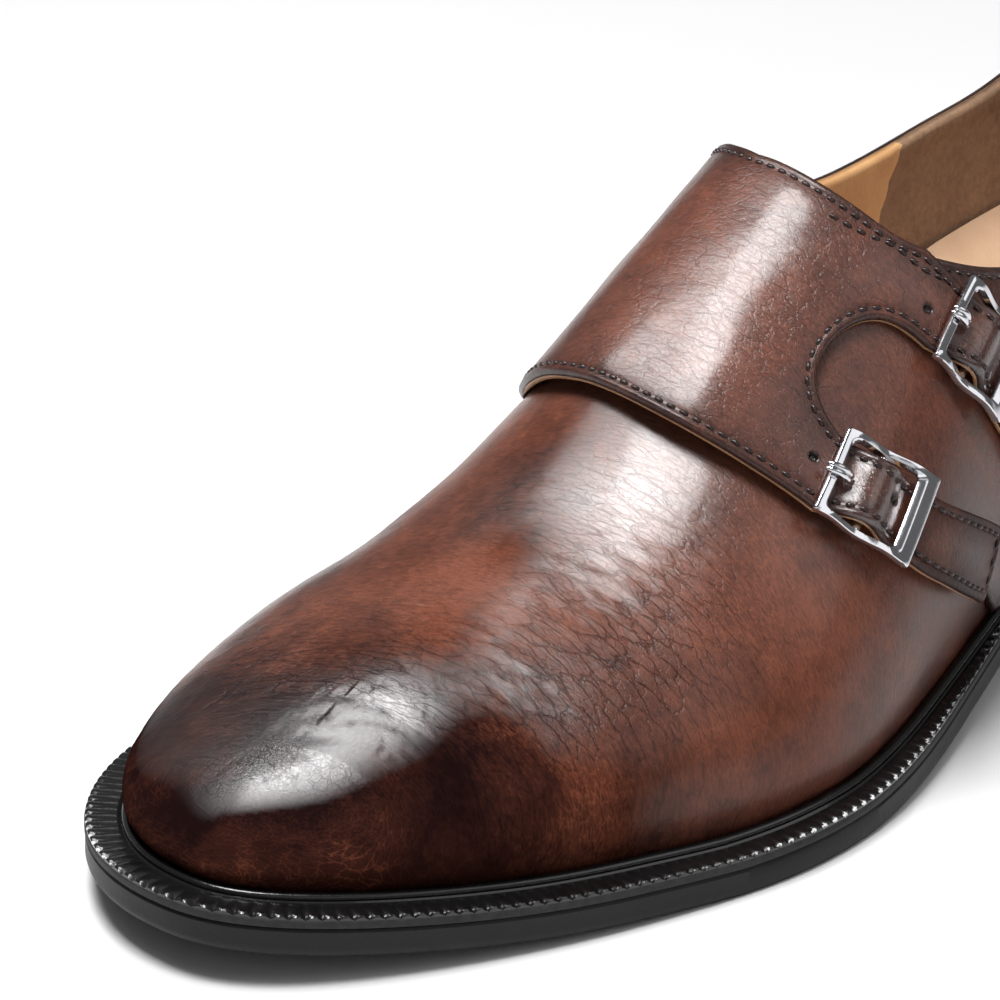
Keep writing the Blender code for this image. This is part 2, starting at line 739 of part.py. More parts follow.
def quarter_outline():
    """Outer quarter: heel seam, topline, the edge hidden under the flap, side seam, feather line."""
    back = HEEL_BACK_RUN + SEAM_HALF_GAP
    seam = np.linspace(collar_angle(back, "outer"), PANEL_FOOT, 6)[1:-1]
    foot = np.arange(SIDE_SEAM_FOOT, back, -6.0)[1:]
    top = topline_between("outer", back, QUARTER_FRONT["run"][0], 5.0)
    front = drawn_line(QUARTER_FRONT["run"], QUARTER_FRONT["angle"], FRONT_SPACING)
    foot_line = np.column_stack([foot, np.full(len(foot), PANEL_FOOT)])
    corner = [[back, PANEL_FOOT]]
    seam_line = np.column_stack([np.full(len(seam), back), seam[::-1]])
    return np.vstack([top, front, foot_line, corner, seam_line, [[back, collar_angle(back, "outer")]]])


def quarter_low(run, angle):
    return np.full(np.shape(run), QUARTER_OFF)


def quarter_thick(run, angle):
    return np.full(np.shape(run), QUARTER_WALL)


def make_quarter(finish):
    outline = quarter_outline()
    pattern = triangulate(outline, lattice(outline, QUARTER_SPACING))
    return make_panel("quarter_outer", pattern, quarter_low, quarter_thick, finish)


# ---- straps and buckles


def surface_step(run, angle, along):
    """Run and angle per millimetre along a direction of the surface and across it, as columns."""
    normal = last_normal(run, angle)
    per_run = (off_last(run + 0.5, angle, BUCKLE_LOW) - off_last(run - 0.5, angle, BUCKLE_LOW)).reshape(3)
    per_angle = (off_last(run, angle + 0.5, BUCKLE_LOW) - off_last(run, angle - 0.5, BUCKLE_LOW)).reshape(3)
    normal = normal.reshape(3)
    ahead = along - normal * np.dot(normal, along)
    ahead = ahead / np.linalg.norm(ahead)
    aside = np.cross(normal, ahead)
    basis = np.column_stack([per_run, per_angle])
    return np.linalg.lstsq(basis, np.column_stack([ahead, aside]), rcond=None)[0]


def strap_steps(strap):
    """The local step matrices all along a strap's centre line."""
    centre = last_surface(strap["run"], strap["angle"])
    heading = np.gradient(centre, axis=0)
    return [surface_step(r, a, h) for r, a, h in zip(strap["run"], strap["angle"], heading)]


def strap_edges(strap):
    """Both edges of a strap as run and angle, from its root to its end."""
    centre = np.column_stack([strap["run"], strap["angle"]])
    aside = np.array([step[:, 1] for step in strap_steps(strap)])
    half = strap["half_width"][:, None]
    left = centre + aside * half
    right = centre - aside * half
    return [drawn_line(edge[:, 0], edge[:, 1], STRAP_SPACING) for edge in (left, right)]


def buckle_map(strap):
    """Where a strap carries its buckle: the centre, and the step matrix there."""
    centre = np.array([strap["run"][STRAP_BUCKLE_ROW], strap["angle"][STRAP_BUCKLE_ROW]])
    return centre, strap_steps(strap)[STRAP_BUCKLE_ROW]


def on_buckle(strap, along, across, height):
    """Points given along the strap, across it, and above the last."""
    centre, step = buckle_map(strap)
    moved = centre + np.stack([along, across], -1) @ step.T
    return off_last(moved[..., 0], moved[..., 1], height)


def centre_bar_bump(strap, run, angle):
    """How far a strap is lifted where it passes over its buckle's centre bar."""
    centre, step = buckle_map(strap)
    local = (np.stack([run, angle], -1) - centre) @ np.linalg.inv(step).T
    near = np.clip((local[..., 0] - CENTRE_BAR_AT) / STRAP_BUMP_REACH, -1.0, 1.0)
    wide = np.abs(local[..., 1]) < BUCKLE_HALF_WIDTH
    return STRAP_BUMP * np.cos(near * np.pi / 2.0) ** 2 * wide


def flap_low(run, angle):
    """Inner face of the flap: close on the inner side, over the outer quarter on the other, standing
    off the instep towards its front edge, and lifted over the centre bars."""
    over_quarter = FLAP_OVER_QUARTER - QUARTER_OFF
    low = QUARTER_OFF + over_quarter * (1.0 - smooth_step(angle, FLAP_LAP_FROM, FLAP_LAP_BY))
    ridge = smooth_step(angle, *FLAP_RIDGE_OUTER) * (1.0 - smooth_step(angle, *FLAP_RIDGE_INNER))
    low = low + FLAP_STAND_OFF * smooth_step(run, FLAP_DOUBLED_BY, FLAP_RAISED_BY) * ridge
    for strap in (STRAP_FRONT, STRAP_REAR):
        low = low + centre_bar_bump(strap, run, angle)
    return low


def flap_thick(run, angle):
    """A single quarter's thickness on the inner side, doubled by the lining towards the instep."""
    single = smooth_step(angle, *FLAP_SINGLE_INNER)
    doubled = smooth_step(run, FLAP_DOUBLED_FROM, FLAP_DOUBLED_BY) * (1.0 - single)
    return QUARTER_WALL + (FLAP_WALL - QUARTER_WALL) * doubled


def flap_outline():
    """Inner quarter, flap and both straps as one closed line."""
    back = HEEL_BACK_RUN + SEAM_HALF_GAP
    front_upper, front_lower = strap_edges(STRAP_FRONT)
    rear_upper, rear_lower = strap_edges(STRAP_REAR)
    foot = np.arange(back, FLAP_FRONT["run"][0], 6.0)
    foot_line = np.column_stack([foot, np.full(len(foot), 180.0 - PANEL_FOOT)])
    front = drawn_line(
        np.append(FLAP_FRONT["run"], front_lower[0, 0]),
        np.append(FLAP_FRONT["angle"], front_lower[0, 1]),
        FRONT_SPACING,
    )
    hole = drawn_line(
        np.concatenate([front_upper[:1, 0], KEYHOLE["run"], rear_lower[:1, 0]]),
        np.concatenate([front_upper[:1, 1], KEYHOLE["angle"], rear_lower[:1, 1]]),
        KEYHOLE_SPACING,
    )
    top_outer = topline_between("outer", REAR_STRAP_ROOT, COLLAR["run"][-1] - 0.2, 4.0)
    top_inner = topline_between("inner", COLLAR["run"][-1] + 1.0, back, 5.0)
    seam = np.linspace(180.0 - collar_angle(back, "inner"), 180.0 - PANEL_FOOT, 6)[:-1]
    seam_line = np.column_stack([np.full(len(seam), back), seam])
    return np.vstack(
        [
            foot_line,
            front[:-1],
            front_lower,
            front_upper[::-1],
            hole[1:-1],
            rear_lower,
            rear_upper[::-1],
            top_outer,
            top_inner,
            seam_line,
        ]
    )


def bump_points(strap, outline):
    """Close points where a strap is bent over its centre bar."""
    reach = BUCKLE_HALF_LENGTH + 0.5
    wide = STRAP_FRONT["half_width"].min() - BUMP_SPACING
    along, across = np.meshgrid(np.linspace(-reach, reach, 10), np.linspace(-wide, wide, 4), indexing="ij")
    centre, step = buckle_map(strap)
    along = along + CENTRE_BAR_AT / 2.0
    points = centre + np.column_stack([along.reshape(-1), across.reshape(-1)]) @ step.T
    points = points[inside_outline(points, outline)]
    return points[clear_of_outline(points, outline, 1.0)]


def make_flap(finish):
    outline = flap_outline()
    points = lattice(outline, PANEL_SPACING)
    for strap in (STRAP_FRONT, STRAP_REAR):
        close = bump_points(strap, outline)
        gap = np.linalg.norm(points[:, None] - close[None], axis=-1).min(axis=1)
        points = np.vstack([points[gap > BUMP_SPACING], close])
    return make_panel("monk_flap", triangulate(outline, points), flap_low, flap_thick, finish)


def rounded_loop(back, front, half_width, radius):
    """A rectangle with rounded corners, anticlockwise, with three points along each side."""
    points = []
    corners = (
        (front - radius, half_width - radius, 0.0),
        (back + radius, half_width - radius, 90.0),
        (back + radius, radius - half_width, 180.0),
        (front - radius, radius - half_width, 270.0),
    )
    for k, (x, y, turn) in enumerate(corners):
        for part in (0.0, 45.0, 90.0):
            at = np.radians(turn + part)
            points.append((x + radius * np.cos(at), y + radius * np.sin(at)))
        after = corners[(k + 1) % 4]
        start = np.array(points[-1])
        at = np.radians(after[2])
        end = np.array([after[0] + radius * np.cos(at), after[1] + radius * np.sin(at)])
        for share in (0.25, 0.5, 0.75):
            points.append(tuple(start + (end - start) * share))
    return np.array(points)


def make_buckle(name, strap, finish):
    """A frame with a thin and a wide bar whose rails dip to carry the centre bar. It lies over the
    strap's ends and beside the strap between them."""
    outer = rounded_loop(-BUCKLE_HALF_LENGTH, BUCKLE_HALF_LENGTH, BUCKLE_HALF_WIDTH, BUCKLE_OUTER_ROUND)
    inner = rounded_loop(
        THIN_BAR - BUCKLE_HALF_LENGTH,
        BUCKLE_HALF_LENGTH - WIDE_BAR,
        BUCKLE_HALF_WIDTH - RAIL_WIDTH,
        BUCKLE_INNER_ROUND,
    )
    section = ((outer, 0.0), (outer, BUCKLE_THICK), (inner, BUCKLE_THICK), (inner, 0.0), (outer, 0.0))
    rows = []
    for loop, rise in section:
        near = np.clip((loop[:, 0] - CENTRE_BAR_AT) / STRAP_BUMP_REACH, -1.0, 1.0)
        low = BUCKLE_LOW - BUCKLE_DIP * np.cos(near * np.pi / 2.0) ** 2
        rows.append(on_buckle(strap, loop[:, 0], loop[:, 1], low + rise))
    frame = slab(name, rows, finish)
    half = BUCKLE_HALF_WIDTH - RAIL_WIDTH * 0.5
    bar = make_rod(
        name + "_centre_bar",
        strap,
        np.full(6, CENTRE_BAR_AT),
        np.linspace(-half, half, 6),
        np.full(6, CENTRE_BAR_HEIGHT),
        np.full(6, CENTRE_BAR_RADIUS),
        finish,
    )
    as_cutter(bar)
    join = frame.modifiers.new("centre_bar", "BOOLEAN")
    join.operation = "UNION"
    join.solver = "EXACT"
    join.object = bar
    return frame


def make_rod(name, strap, along, across, height, radius, finish):
    """A round rod over a strap, through points given along it, across it and above the last."""
    count = 8
    turn = np.linspace(0.0, 2.0 * np.pi, count, endpoint=False)
    heading = np.column_stack([np.gradient(along), np.gradient(across)])
    heading = heading / np.linalg.norm(heading, axis=1, keepdims=True)
    rows = []
    for k in range(len(along)):
        aside = radius[k] * np.cos(turn)
        u = along[k] - heading[k, 1] * aside
        v = across[k] + heading[k, 0] * aside
        rows.append(on_buckle(strap, u, v, height[k] + radius[k] * np.sin(turn)))
    faces = ring_faces(len(rows), count)
    faces += [tuple(range(count)), tuple(range((len(rows) - 1) * count, len(rows) * count))]
    obj = mesh_object(name, np.vstack(rows), faces, finish)
    face_outwards(obj)
    return obj


def make_prong(name, strap, finish):
    """The buckle's tongue, from its hole in the strap to its rest on the thin bar."""
    across = np.zeros(len(PRONG["along"]))
    return make_rod(name, strap, PRONG["along"], across, PRONG["height"], PRONG["radius"], finish)


# ---- the shoe


def stand_on_floor(objects):
    """Moves every mesh so that the shoe's box is centred on the origin, with the floor at z = 0."""
    corners = np.array([v.co for obj in objects for v in obj.data.vertices])
    low = corners.min(axis=0)
    high = corners.max(axis=0)
    shift = -(low + high) / 2.0
    shift[2] = -low[2]
    for obj in list(SHOE_COLLECTION.objects) + list(CUTTER_COLLECTION.objects):
        if obj.name.startswith("tread_cutter"):
            obj.location = np.array(obj.location) + shift
        else:
            for v in obj.data.vertices:
                v.co = v.co + Vector(shift)


def build():
    clear_scene()
    brown = material("brown_leather", (0.115, 0.038, 0.016), 0.38)
    tan = material("tan_leather", (0.42, 0.24, 0.12), 0.6)
    rubber = material("black_rubber", (0.012, 0.012, 0.013), 0.55)
    stack = material("heel_stack", (0.02, 0.016, 0.014), 0.5)
    chrome = material("polished_steel", (0.75, 0.75, 0.76), 0.16, 1.0)
    outsole = make_outsole(rubber)
    cut_tread(outsole)
    make_heel_block(stack)
    make_heel_lift(rubber)
    make_welt(rubber)
    make_insole(tan)
    make_upper(brown)
    make_quarter(brown)
    make_flap(brown)
    for place, strap in (("front", STRAP_FRONT), ("rear", STRAP_REAR)):
        make_buckle("buckle_" + place, strap, chrome)
        make_prong("prong_" + place, strap, chrome)
    stand_on_floor(SHOE_COLLECTION.objects)


build()
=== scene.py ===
# %% [markdown]
# # A double monk-strap shoe
#
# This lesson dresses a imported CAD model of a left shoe. The CAD part gives the frame: every solid,
# its place and its size. Each cell below makes one piece as a maker would name it, from a surface
# that is worked out as whole numpy arrays, and gives it a procedural finish.

# %% Load the frame
import json
import bmesh
import bpy
import numpy as np
from mathutils import Matrix, Vector
from mathutils.geometry import delaunay_2d_cdt

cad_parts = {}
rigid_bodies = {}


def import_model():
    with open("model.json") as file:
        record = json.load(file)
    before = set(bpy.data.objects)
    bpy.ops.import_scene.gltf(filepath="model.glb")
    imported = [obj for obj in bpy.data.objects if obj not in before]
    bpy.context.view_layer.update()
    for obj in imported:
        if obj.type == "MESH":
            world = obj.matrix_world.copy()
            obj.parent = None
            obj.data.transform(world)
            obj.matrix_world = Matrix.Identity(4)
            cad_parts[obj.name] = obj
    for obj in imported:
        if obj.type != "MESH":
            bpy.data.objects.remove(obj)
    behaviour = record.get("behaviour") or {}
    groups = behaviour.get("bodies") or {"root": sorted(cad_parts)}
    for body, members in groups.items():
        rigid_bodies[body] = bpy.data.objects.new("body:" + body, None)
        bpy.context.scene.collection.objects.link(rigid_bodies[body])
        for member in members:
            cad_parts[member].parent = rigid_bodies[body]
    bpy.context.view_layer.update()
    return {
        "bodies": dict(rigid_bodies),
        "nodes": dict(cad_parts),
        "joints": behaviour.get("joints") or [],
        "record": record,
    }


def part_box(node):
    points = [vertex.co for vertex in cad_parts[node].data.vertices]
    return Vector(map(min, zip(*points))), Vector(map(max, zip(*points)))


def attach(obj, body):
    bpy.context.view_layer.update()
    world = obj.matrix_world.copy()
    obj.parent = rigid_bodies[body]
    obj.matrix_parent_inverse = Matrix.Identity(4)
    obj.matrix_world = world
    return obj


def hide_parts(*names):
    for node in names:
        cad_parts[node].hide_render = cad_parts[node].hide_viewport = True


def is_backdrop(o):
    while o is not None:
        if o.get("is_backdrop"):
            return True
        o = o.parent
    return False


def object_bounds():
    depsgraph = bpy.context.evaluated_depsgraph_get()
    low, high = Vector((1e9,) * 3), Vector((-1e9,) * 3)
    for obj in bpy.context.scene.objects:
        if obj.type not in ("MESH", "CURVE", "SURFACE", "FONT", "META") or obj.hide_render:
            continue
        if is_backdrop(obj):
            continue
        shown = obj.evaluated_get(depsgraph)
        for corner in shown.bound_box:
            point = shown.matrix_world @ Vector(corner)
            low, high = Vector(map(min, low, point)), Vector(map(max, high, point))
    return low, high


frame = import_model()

# %% [markdown]
# ## The last
#
# A shoe takes its shape from a last, the wooden foot it is pulled over. Here the last is a surface of
# two parameters: a run along the shoe, in millimetres from the back of the heel, and an angle round
# the section, from 0 at the outer feather line over 90 on the instep's ridge to 180 at the inner
# feather line. Short tables hold its widths and heights, and a natural spline reads between their
# rows. The leather, the lining and the straps are all this surface moved outward by a distance, so
# they fit each other without any fitting.

# %% The last's tables
MM = 0.001
SOLE_LENGTH, HEEL_AXIS, TOE_AXIS = 303.0, 35.0, 235.0
LAST_BACK, LAST_TIP = 2.5, 296.0
HEEL_PITCH, TOE_PITCH = 31.5, 43.0
HEEL_ROUND, TOE_ROUND = 2.15, 2.2
FEATHER_RISE, OUTSOLE_THICK, BAND_THICK = 9.0, 5.2, 2.7
HEEL_BACK_RUN = HEEL_AXIS - HEEL_PITCH * np.pi / 2
TOE_TIP_RUN = TOE_AXIS + TOE_PITCH * np.pi / 2


def table(columns, rows):
    """A short table with named columns."""
    return dict(zip(columns.split(), np.array(rows, float).T))


LAST = table("station outer inner spine plan_round top_round belly", (
    (35, 31.5, 31.5, 0.0, 2.3, 2.3, 4.0),
    (75, 32.4, 29.2, -0.5, 2.25, 2.2, 4.6),
    (115, 35.0, 26.7, -0.8, 2.15, 2.0, 5.1),
    (150, 43.4, 30.1, -0.6, 2.05, 1.9, 5.1),
    (180, 50.9, 38.4, -0.7, 2.0, 1.5, 5.1),
    (205, 51.1, 40.0, -1.1, 2.05, 1.75, 5.1),
    (235, 42.3, 43.5, -1.6, 2.15, 2.1, 5.1),
    (265, 32.0, 43.5, -2.6, 2.2, 2.15, 5.1),
    (300, 21.9, 40.1, -2.6, 2.2, 2.2, 5.1),
))
CROWN = table("station height", (
    (0, 116), (35, 117), (65, 117), (95, 116), (125, 110), (155, 93.2),
    (180, 75), (205, 57), (230, 45), (260, 35.3), (300, 26.6),
))
SOLE = table("station underside welt", (
    (-20, 20.5, 2.0), (25, 20.5, 2.0), (60, 20.5, 2.0), (85, 18.0, 2.4),
    (120, 7.9, 3.5), (150, 2.7, 5.0), (180, 0.3, 6.3), (205, -0.4, 7.0),
    (230, 0.6, 7.6), (255, 2.0, 8.0), (280, 4.5, 8.3), (310, 8.3, 8.3),
))
COLLAR = table("run outer inner", (
    (-14.5, 29.8, 30.0), (0, 29.4, 29.6), (15, 27.0, 27.5), (30, 23.5, 24.3),
    (45, 21.4, 22.5), (60, 21.1, 22.6), (75, 22.8, 23.4), (90, 27.0, 25.9),
    (102, 31.8, 29.6), (114, 37.6, 35.3), (126, 43.1, 43.3), (135.8, 50.2, 54.5),
    (142.6, 58.5, 68.0), (145.3, 66.2, 75.5), (147.2, 75.4, 83.0), (148.2, 90.0, 90.0),
))
print("last:", len(LAST["station"]), "sections,", len(CROWN["station"]), "crown heights")


# %% Reading a table
def spline(x, y, at):
    """The natural cubic spline through (x, y): second derivatives solve a tridiagonal system, then
    each span is the cubic that those derivatives and the end values give."""
    gap = np.diff(x)
    inner = np.arange(1, len(x) - 1)
    matrix = np.eye(len(x))
    matrix[inner, inner - 1] = gap[:-1]
    matrix[inner, inner] = 2 * (gap[:-1] + gap[1:])
    matrix[inner, inner + 1] = gap[1:]
    right = np.zeros(len(x))
    right[inner] = 6 * np.diff(np.diff(y) / gap)
    bend = np.linalg.solve(matrix, right)
    at = np.asarray(at, float)
    k = np.clip(np.searchsorted(x, at) - 1, 0, len(x) - 2)
    after, before, h = at - x[k], x[k + 1] - at, gap[k]
    curved = (bend[k] * before**3 + bend[k + 1] * after**3) / (6 * h)
    return curved + (y[k] / h - bend[k] * h / 6) * before + (y[k + 1] / h - bend[k + 1] * h / 6) * after


def read(columns, name, station):
    """A column of a table at any station."""
    return spline(columns["station"], columns[name], station)


def smooth_step(at, start, end):
    """0 before start, 1 after end, and 3s^2 - 2s^3 between them."""
    share = np.clip((at - start) / (end - start), 0, 1)
    return share * share * (3 - 2 * share)


def fade(at, start, end):
    """1 before start and 0 after end: one less the smooth step."""
    return 1 - smooth_step(at, start, end)


def station_of(points):
    """How far points are along the shoe, in millimetres from the back of the heel."""
    return SOLE_LENGTH / 2 - points[..., 1]


def underside(station):
    """Height of the outsole's lower face."""
    return np.maximum(read(SOLE, "underside", station), 0)


# %% The last's surface
BELLY_SCALE = 3.08  # one over the largest value of sin(a) cos(a)^3


def section_foot(run, side):
    """Where a half section starts, how far its feather point is, and in which direction. Behind the
    heel axis and ahead of the toe axis the feather point runs along a quarter superellipse:
    width times cos(turn)^(2/n) across, depth times sin(turn)^(2/n) along."""
    station = np.clip(run, HEEL_AXIS, TOE_AXIS)
    spine = read(LAST, "spine", station)
    heel = run < HEEL_AXIS
    turn = np.where(heel, (HEEL_AXIS - run) / HEEL_PITCH, np.maximum(run - TOE_AXIS, 0) / TOE_PITCH)
    turn = np.clip(turn, 0, np.pi / 2)
    depth = np.where(heel, LAST_BACK - HEEL_AXIS, LAST_TIP - TOE_AXIS)
    power = 2 / np.where(heel, HEEL_ROUND, TOE_ROUND)
    foot = station + depth * np.sin(turn) ** power
    at = np.maximum(foot, HEEL_AXIS)
    middle = np.where(heel, 0, read(LAST, "spine", at))
    width = np.where(side > 0, read(LAST, "outer", at) - middle, read(LAST, "inner", at) + middle)
    offset = np.where(heel, 0, middle - spine) + side * width * np.maximum(np.cos(turn), 0) ** power
    reach = np.hypot(offset, foot - station)
    return spine, station, reach, offset / reach, (foot - station) / reach


def last_surface(run, angle):
    """Points of the last in model millimetres: plan reach r cos(a)^(2/n) plus a belly, whose largest
    value is b, of sin(a) cos(a)^3, and rise h sin(a)^(2/m)."""
    run, angle = np.broadcast_arrays(np.asarray(run, float), np.radians(np.asarray(angle, float)))
    spine, station, reach, across, along = section_foot(run, np.where(np.cos(angle) >= 0, 1.0, -1.0))
    cosine, sine = np.abs(np.cos(angle)), np.abs(np.sin(angle))
    plan = reach * cosine ** (2 / read(LAST, "plan_round", station))
    plan = plan + BELLY_SCALE * read(LAST, "belly", station) * sine * cosine**3
    rise = sine ** (2 / read(LAST, "top_round", station))
    back = station + along * plan
    foot = underside(station + along * reach) + FEATHER_RISE
    height = foot + (read(CROWN, "height", back) - foot) * rise
    return np.stack([spine + across * plan, SOLE_LENGTH / 2 - back, height], -1)


def unit(vectors):
    """The same directions at length one."""
    return vectors / np.linalg.norm(vectors, axis=-1, keepdims=True)


def last_normal(run, angle):
    """Outward unit normals, by central differences."""
    run, angle = np.broadcast_arrays(np.asarray(run, float), np.asarray(angle, float))
    on_spine = np.abs(angle - 90) < 0.05
    run = np.where(on_spine, np.clip(run, HEEL_AXIS + 0.3, TOE_AXIS - 0.3), run)
    run = np.clip(run, HEEL_BACK_RUN + 0.3, TOE_TIP_RUN - 0.3)
    angle = np.clip(angle, 1, 179)
    forward = last_surface(run + 0.25, angle) - last_surface(run - 0.25, angle)
    up = last_surface(run, angle + 0.8) - last_surface(run, angle - 0.8)
    return unit(np.cross(up, forward))


def off_last(run, angle, distance):
    """The last's point moved along its normal."""
    distance = np.broadcast_to(np.asarray(distance, float), np.broadcast(run, angle).shape)
    return last_surface(run, angle) + last_normal(run, angle) * distance[..., None]


# %% [markdown]
# ## From the last's frame to the row's frame
#
# The CAD part was moved after it was made, so that its box stands centred on the floor.


# %% Feather line and sole edge
def feather_ring(count):
    """The closed line where upper meets sole: forward on the outer side, back on the inner side."""
    runs = np.linspace(HEEL_BACK_RUN, TOE_TIP_RUN, count)
    back = runs[-2:0:-1]
    outer = last_surface(runs, np.zeros(count))
    inner = last_surface(back, np.full(len(back), 180.0))
    return np.concatenate([outer, inner]), np.concatenate([runs, back])


def way_along(line):
    """How far each point of a line is from its start, measured along it."""
    return np.concatenate([[0], np.cumsum(np.linalg.norm(np.diff(line, axis=0), axis=1))])


def even_ring(ring, count):
    """The same closed line with its points evenly spaced, and its length."""
    closed = np.vstack([ring, ring[:1]])
    length = way_along(closed[:, :2])
    at = np.linspace(0, length[-1], count, endpoint=False)
    return np.stack([np.interp(at, length, closed[:, k]) for k in range(closed.shape[1])], -1), length[-1]


def plan_out(ring):
    """Unit vectors on plan that point out of a closed line."""
    along = np.roll(ring[:, :2], -1, 0) - np.roll(ring[:, :2], 1, 0)
    out = np.stack([along[:, 1], -along[:, 0]], -1)
    turning = np.sum(ring[:, 0] * np.roll(ring[:, 1], -1) - np.roll(ring[:, 0], -1) * ring[:, 1])
    return unit(out * np.sign(turning))


def welt_width(ring):
    """How far the welt stands out of each point of the feather line."""
    return read(SOLE, "welt", station_of(ring))


FEATHER, _ = feather_ring(900)
edge = FEATHER[:, :2] + plan_out(FEATHER) * welt_width(FEATHER)[:, None]
welt_low, welt_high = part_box("welt")
sole_low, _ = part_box("heel_lift")
SHIFT = np.array([
    (welt_low.x + welt_high.x) / (2 * MM) - (edge[:, 0].min() + edge[:, 0].max()) / 2,
    (welt_low.y + welt_high.y) / (2 * MM) - (edge[:, 1].min() + edge[:, 1].max()) / 2,
    sole_low.z / MM,
])
print("row frame = last frame +", SHIFT.round(2), "mm")

# %% [markdown]
# ## Two ways to make a mesh
#
# A surface on a grid becomes a mesh with one quad for each cell. A leather panel has a free outline, so
# it starts as a flat pattern: rings of points just inside its outline, a lattice in its middle, and a
# triangulation of them all. Both ways end in one helper, which puts millimetre points into a mesh at
# the origin of the row frame, with named values on the points for the materials to read.

# %% Mesh helpers
def grid_quads(rows, columns, wrap=False):
    """Corner numbers of every cell of a grid, row by row; wrap joins the last column to the first."""
    last = columns if wrap else columns - 1
    row, column = np.meshgrid(np.arange(rows - 1), np.arange(last), indexing="ij")
    after = (column + 1) % columns
    corners = np.stack([row * columns + column, row * columns + after,
                        (row + 1) * columns + after, (row + 1) * columns + column], -1)
    return corners.reshape(-1, 4)


def new_piece(name, points, faces, finish, values=None, replaces=(), sharp=180.0):
    """A finished piece from millimetre points in the last's frame: doubles merged, faces turned out."""
    mesh = bpy.data.meshes.new(name)
    corners = faces if isinstance(faces, list) else faces.tolist()
    mesh.from_pydata(((points + SHIFT) * MM).tolist(), [], corners)
    for key, numbers in (values or {}).items():
        layer = mesh.attributes.new(key, "FLOAT", "POINT")
        layer.data.foreach_set("value", np.asarray(numbers, np.float32).reshape(-1))
    work = bmesh.new()
    work.from_mesh(mesh)
    bmesh.ops.remove_doubles(work, verts=work.verts, dist=2e-6)
    bmesh.ops.dissolve_degenerate(work, edges=work.edges, dist=1e-7)
    bmesh.ops.recalc_face_normals(work, faces=work.faces)
    if work.calc_volume(signed=True) < 0:
        bmesh.ops.reverse_faces(work, faces=work.faces)
    work.to_mesh(mesh)
    work.free()
    mesh.shade_smooth()
    if sharp < 180:
        mesh.set_sharp_from_angle(angle=np.radians(sharp))
    mesh.materials.append(finish)
    piece = bpy.data.objects.new(name, mesh)
    bpy.context.scene.collection.objects.link(piece)
    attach(piece, "root")
    if replaces:
        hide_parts(*replaces)
    print(f"{name}: {len(mesh.vertices)} points, {len(mesh.polygons)} faces")
    return piece


print("mesh helpers ready")

# %% Flat patterns
STEP_HEIGHT = 4.9  # steps along a panel are measured this far off the last, as high as the straps lie
RING_KEPT = 0.88  # a ring's point nearer to the outline than this share of its distance is left out
HOLE_RINGS, HOLE_CLEAR = (0.35, 0.6, 0.8, 1.05, 1.5), 2.1


def drawn_line(x, y, spacing):
    """A smooth line through points, sampled evenly along itself."""
    chord = np.concatenate([[0], np.cumsum(np.hypot(np.diff(x), np.diff(y)))])
    at = np.linspace(0, chord[-1], int(np.ceil(chord[-1] / spacing)) + 1)
    return np.column_stack([spline(chord, x, at), spline(chord, y, at)])


def inside_outline(points, outline):
    """True inside a closed outline: an odd number of its sides lies to the point's right."""
    start, end = outline, np.roll(outline, -1, axis=0)
    rise = np.where(end[:, 1] == start[:, 1], 1, end[:, 1] - start[:, 1])
    found = []
    for part in np.array_split(points, max(1, len(points) // 4000)):
        y = part[:, 1, None]
        spans = (start[:, 1] > y) != (end[:, 1] > y)
        x = start[:, 0] + (y - start[:, 1]) * (end[:, 0] - start[:, 0]) / rise
        found.append((spans & (part[:, 0, None] < x)).sum(1) % 2 == 1)
    return np.concatenate(found)


def edge_distance(pattern, outline):
    """Millimetres on the last from each point of a pattern to the nearest side of an outline."""
    points = last_surface(*pattern.T)
    start = last_surface(*outline.T)
    along = np.roll(start, -1, axis=0) - start
    square = np.sum(along**2, -1)
    nearest = []
    for part in np.array_split(points, max(1, len(points) // 1500)):
        reach = part[:, None] - start[None]
        share = np.clip(np.einsum("ijk,jk->ij", reach, along) / square, 0, 1)
        gap = reach - share[..., None] * along[None]
        nearest.append(np.sqrt(np.einsum("ijk,ijk->ij", gap, gap).min(1)))
    return np.concatenate(nearest)


def surface_steps(run, angle, heading):
    """At each point, the steps of run and angle for one millimetre ahead along the heading and one
    millimetre to its side: the surface's two tangents, inverted."""
    normal = last_normal(run, angle)
    per_run = off_last(run + 0.5, angle, STEP_HEIGHT) - off_last(run - 0.5, angle, STEP_HEIGHT)
    per_angle = off_last(run, angle + 0.5, STEP_HEIGHT) - off_last(run, angle - 0.5, STEP_HEIGHT)
    ahead = unit(heading - normal * np.sum(normal * heading, -1, keepdims=True))
    basis = np.stack([per_run, per_angle], -1)
    return np.linalg.pinv(basis) @ np.stack([ahead, np.cross(normal, ahead)], -1)


def inset_line(outline, distance):
    """A closed pattern line moved inward by millimetres along the last, square to itself."""
    run, angle = outline.T
    along = last_surface(*np.roll(outline, -1, 0).T) - last_surface(*np.roll(outline, 1, 0).T)
    aside = surface_steps(run, angle, along)[..., 1]
    trial = outline + 0.05 * aside
    share = np.mean(inside_outline(trial[:: max(1, len(trial) // 200)], outline))
    inward = 1 if share > 0.5 else -1
    return outline + aside * distance * inward


def resample(outline, spacing):
    """A closed pattern line with points about one spacing apart on the last, keeping its corners, and
    the number of the side that each lies on."""
    closed = np.vstack([outline, outline[:1]])
    length = np.linalg.norm(np.diff(last_surface(*closed.T), axis=0), axis=1)
    parts = np.maximum(1, np.ceil(length / spacing).astype(int))
    start = np.repeat(np.arange(len(parts)), parts)
    share = np.concatenate([np.arange(n) / n for n in parts])[:, None]
    return closed[start] * (1 - share) + closed[start + 1] * share, start


def around(count):
    """Angles evenly round a circle."""
    return np.linspace(0, 2 * np.pi, count, endpoint=False)


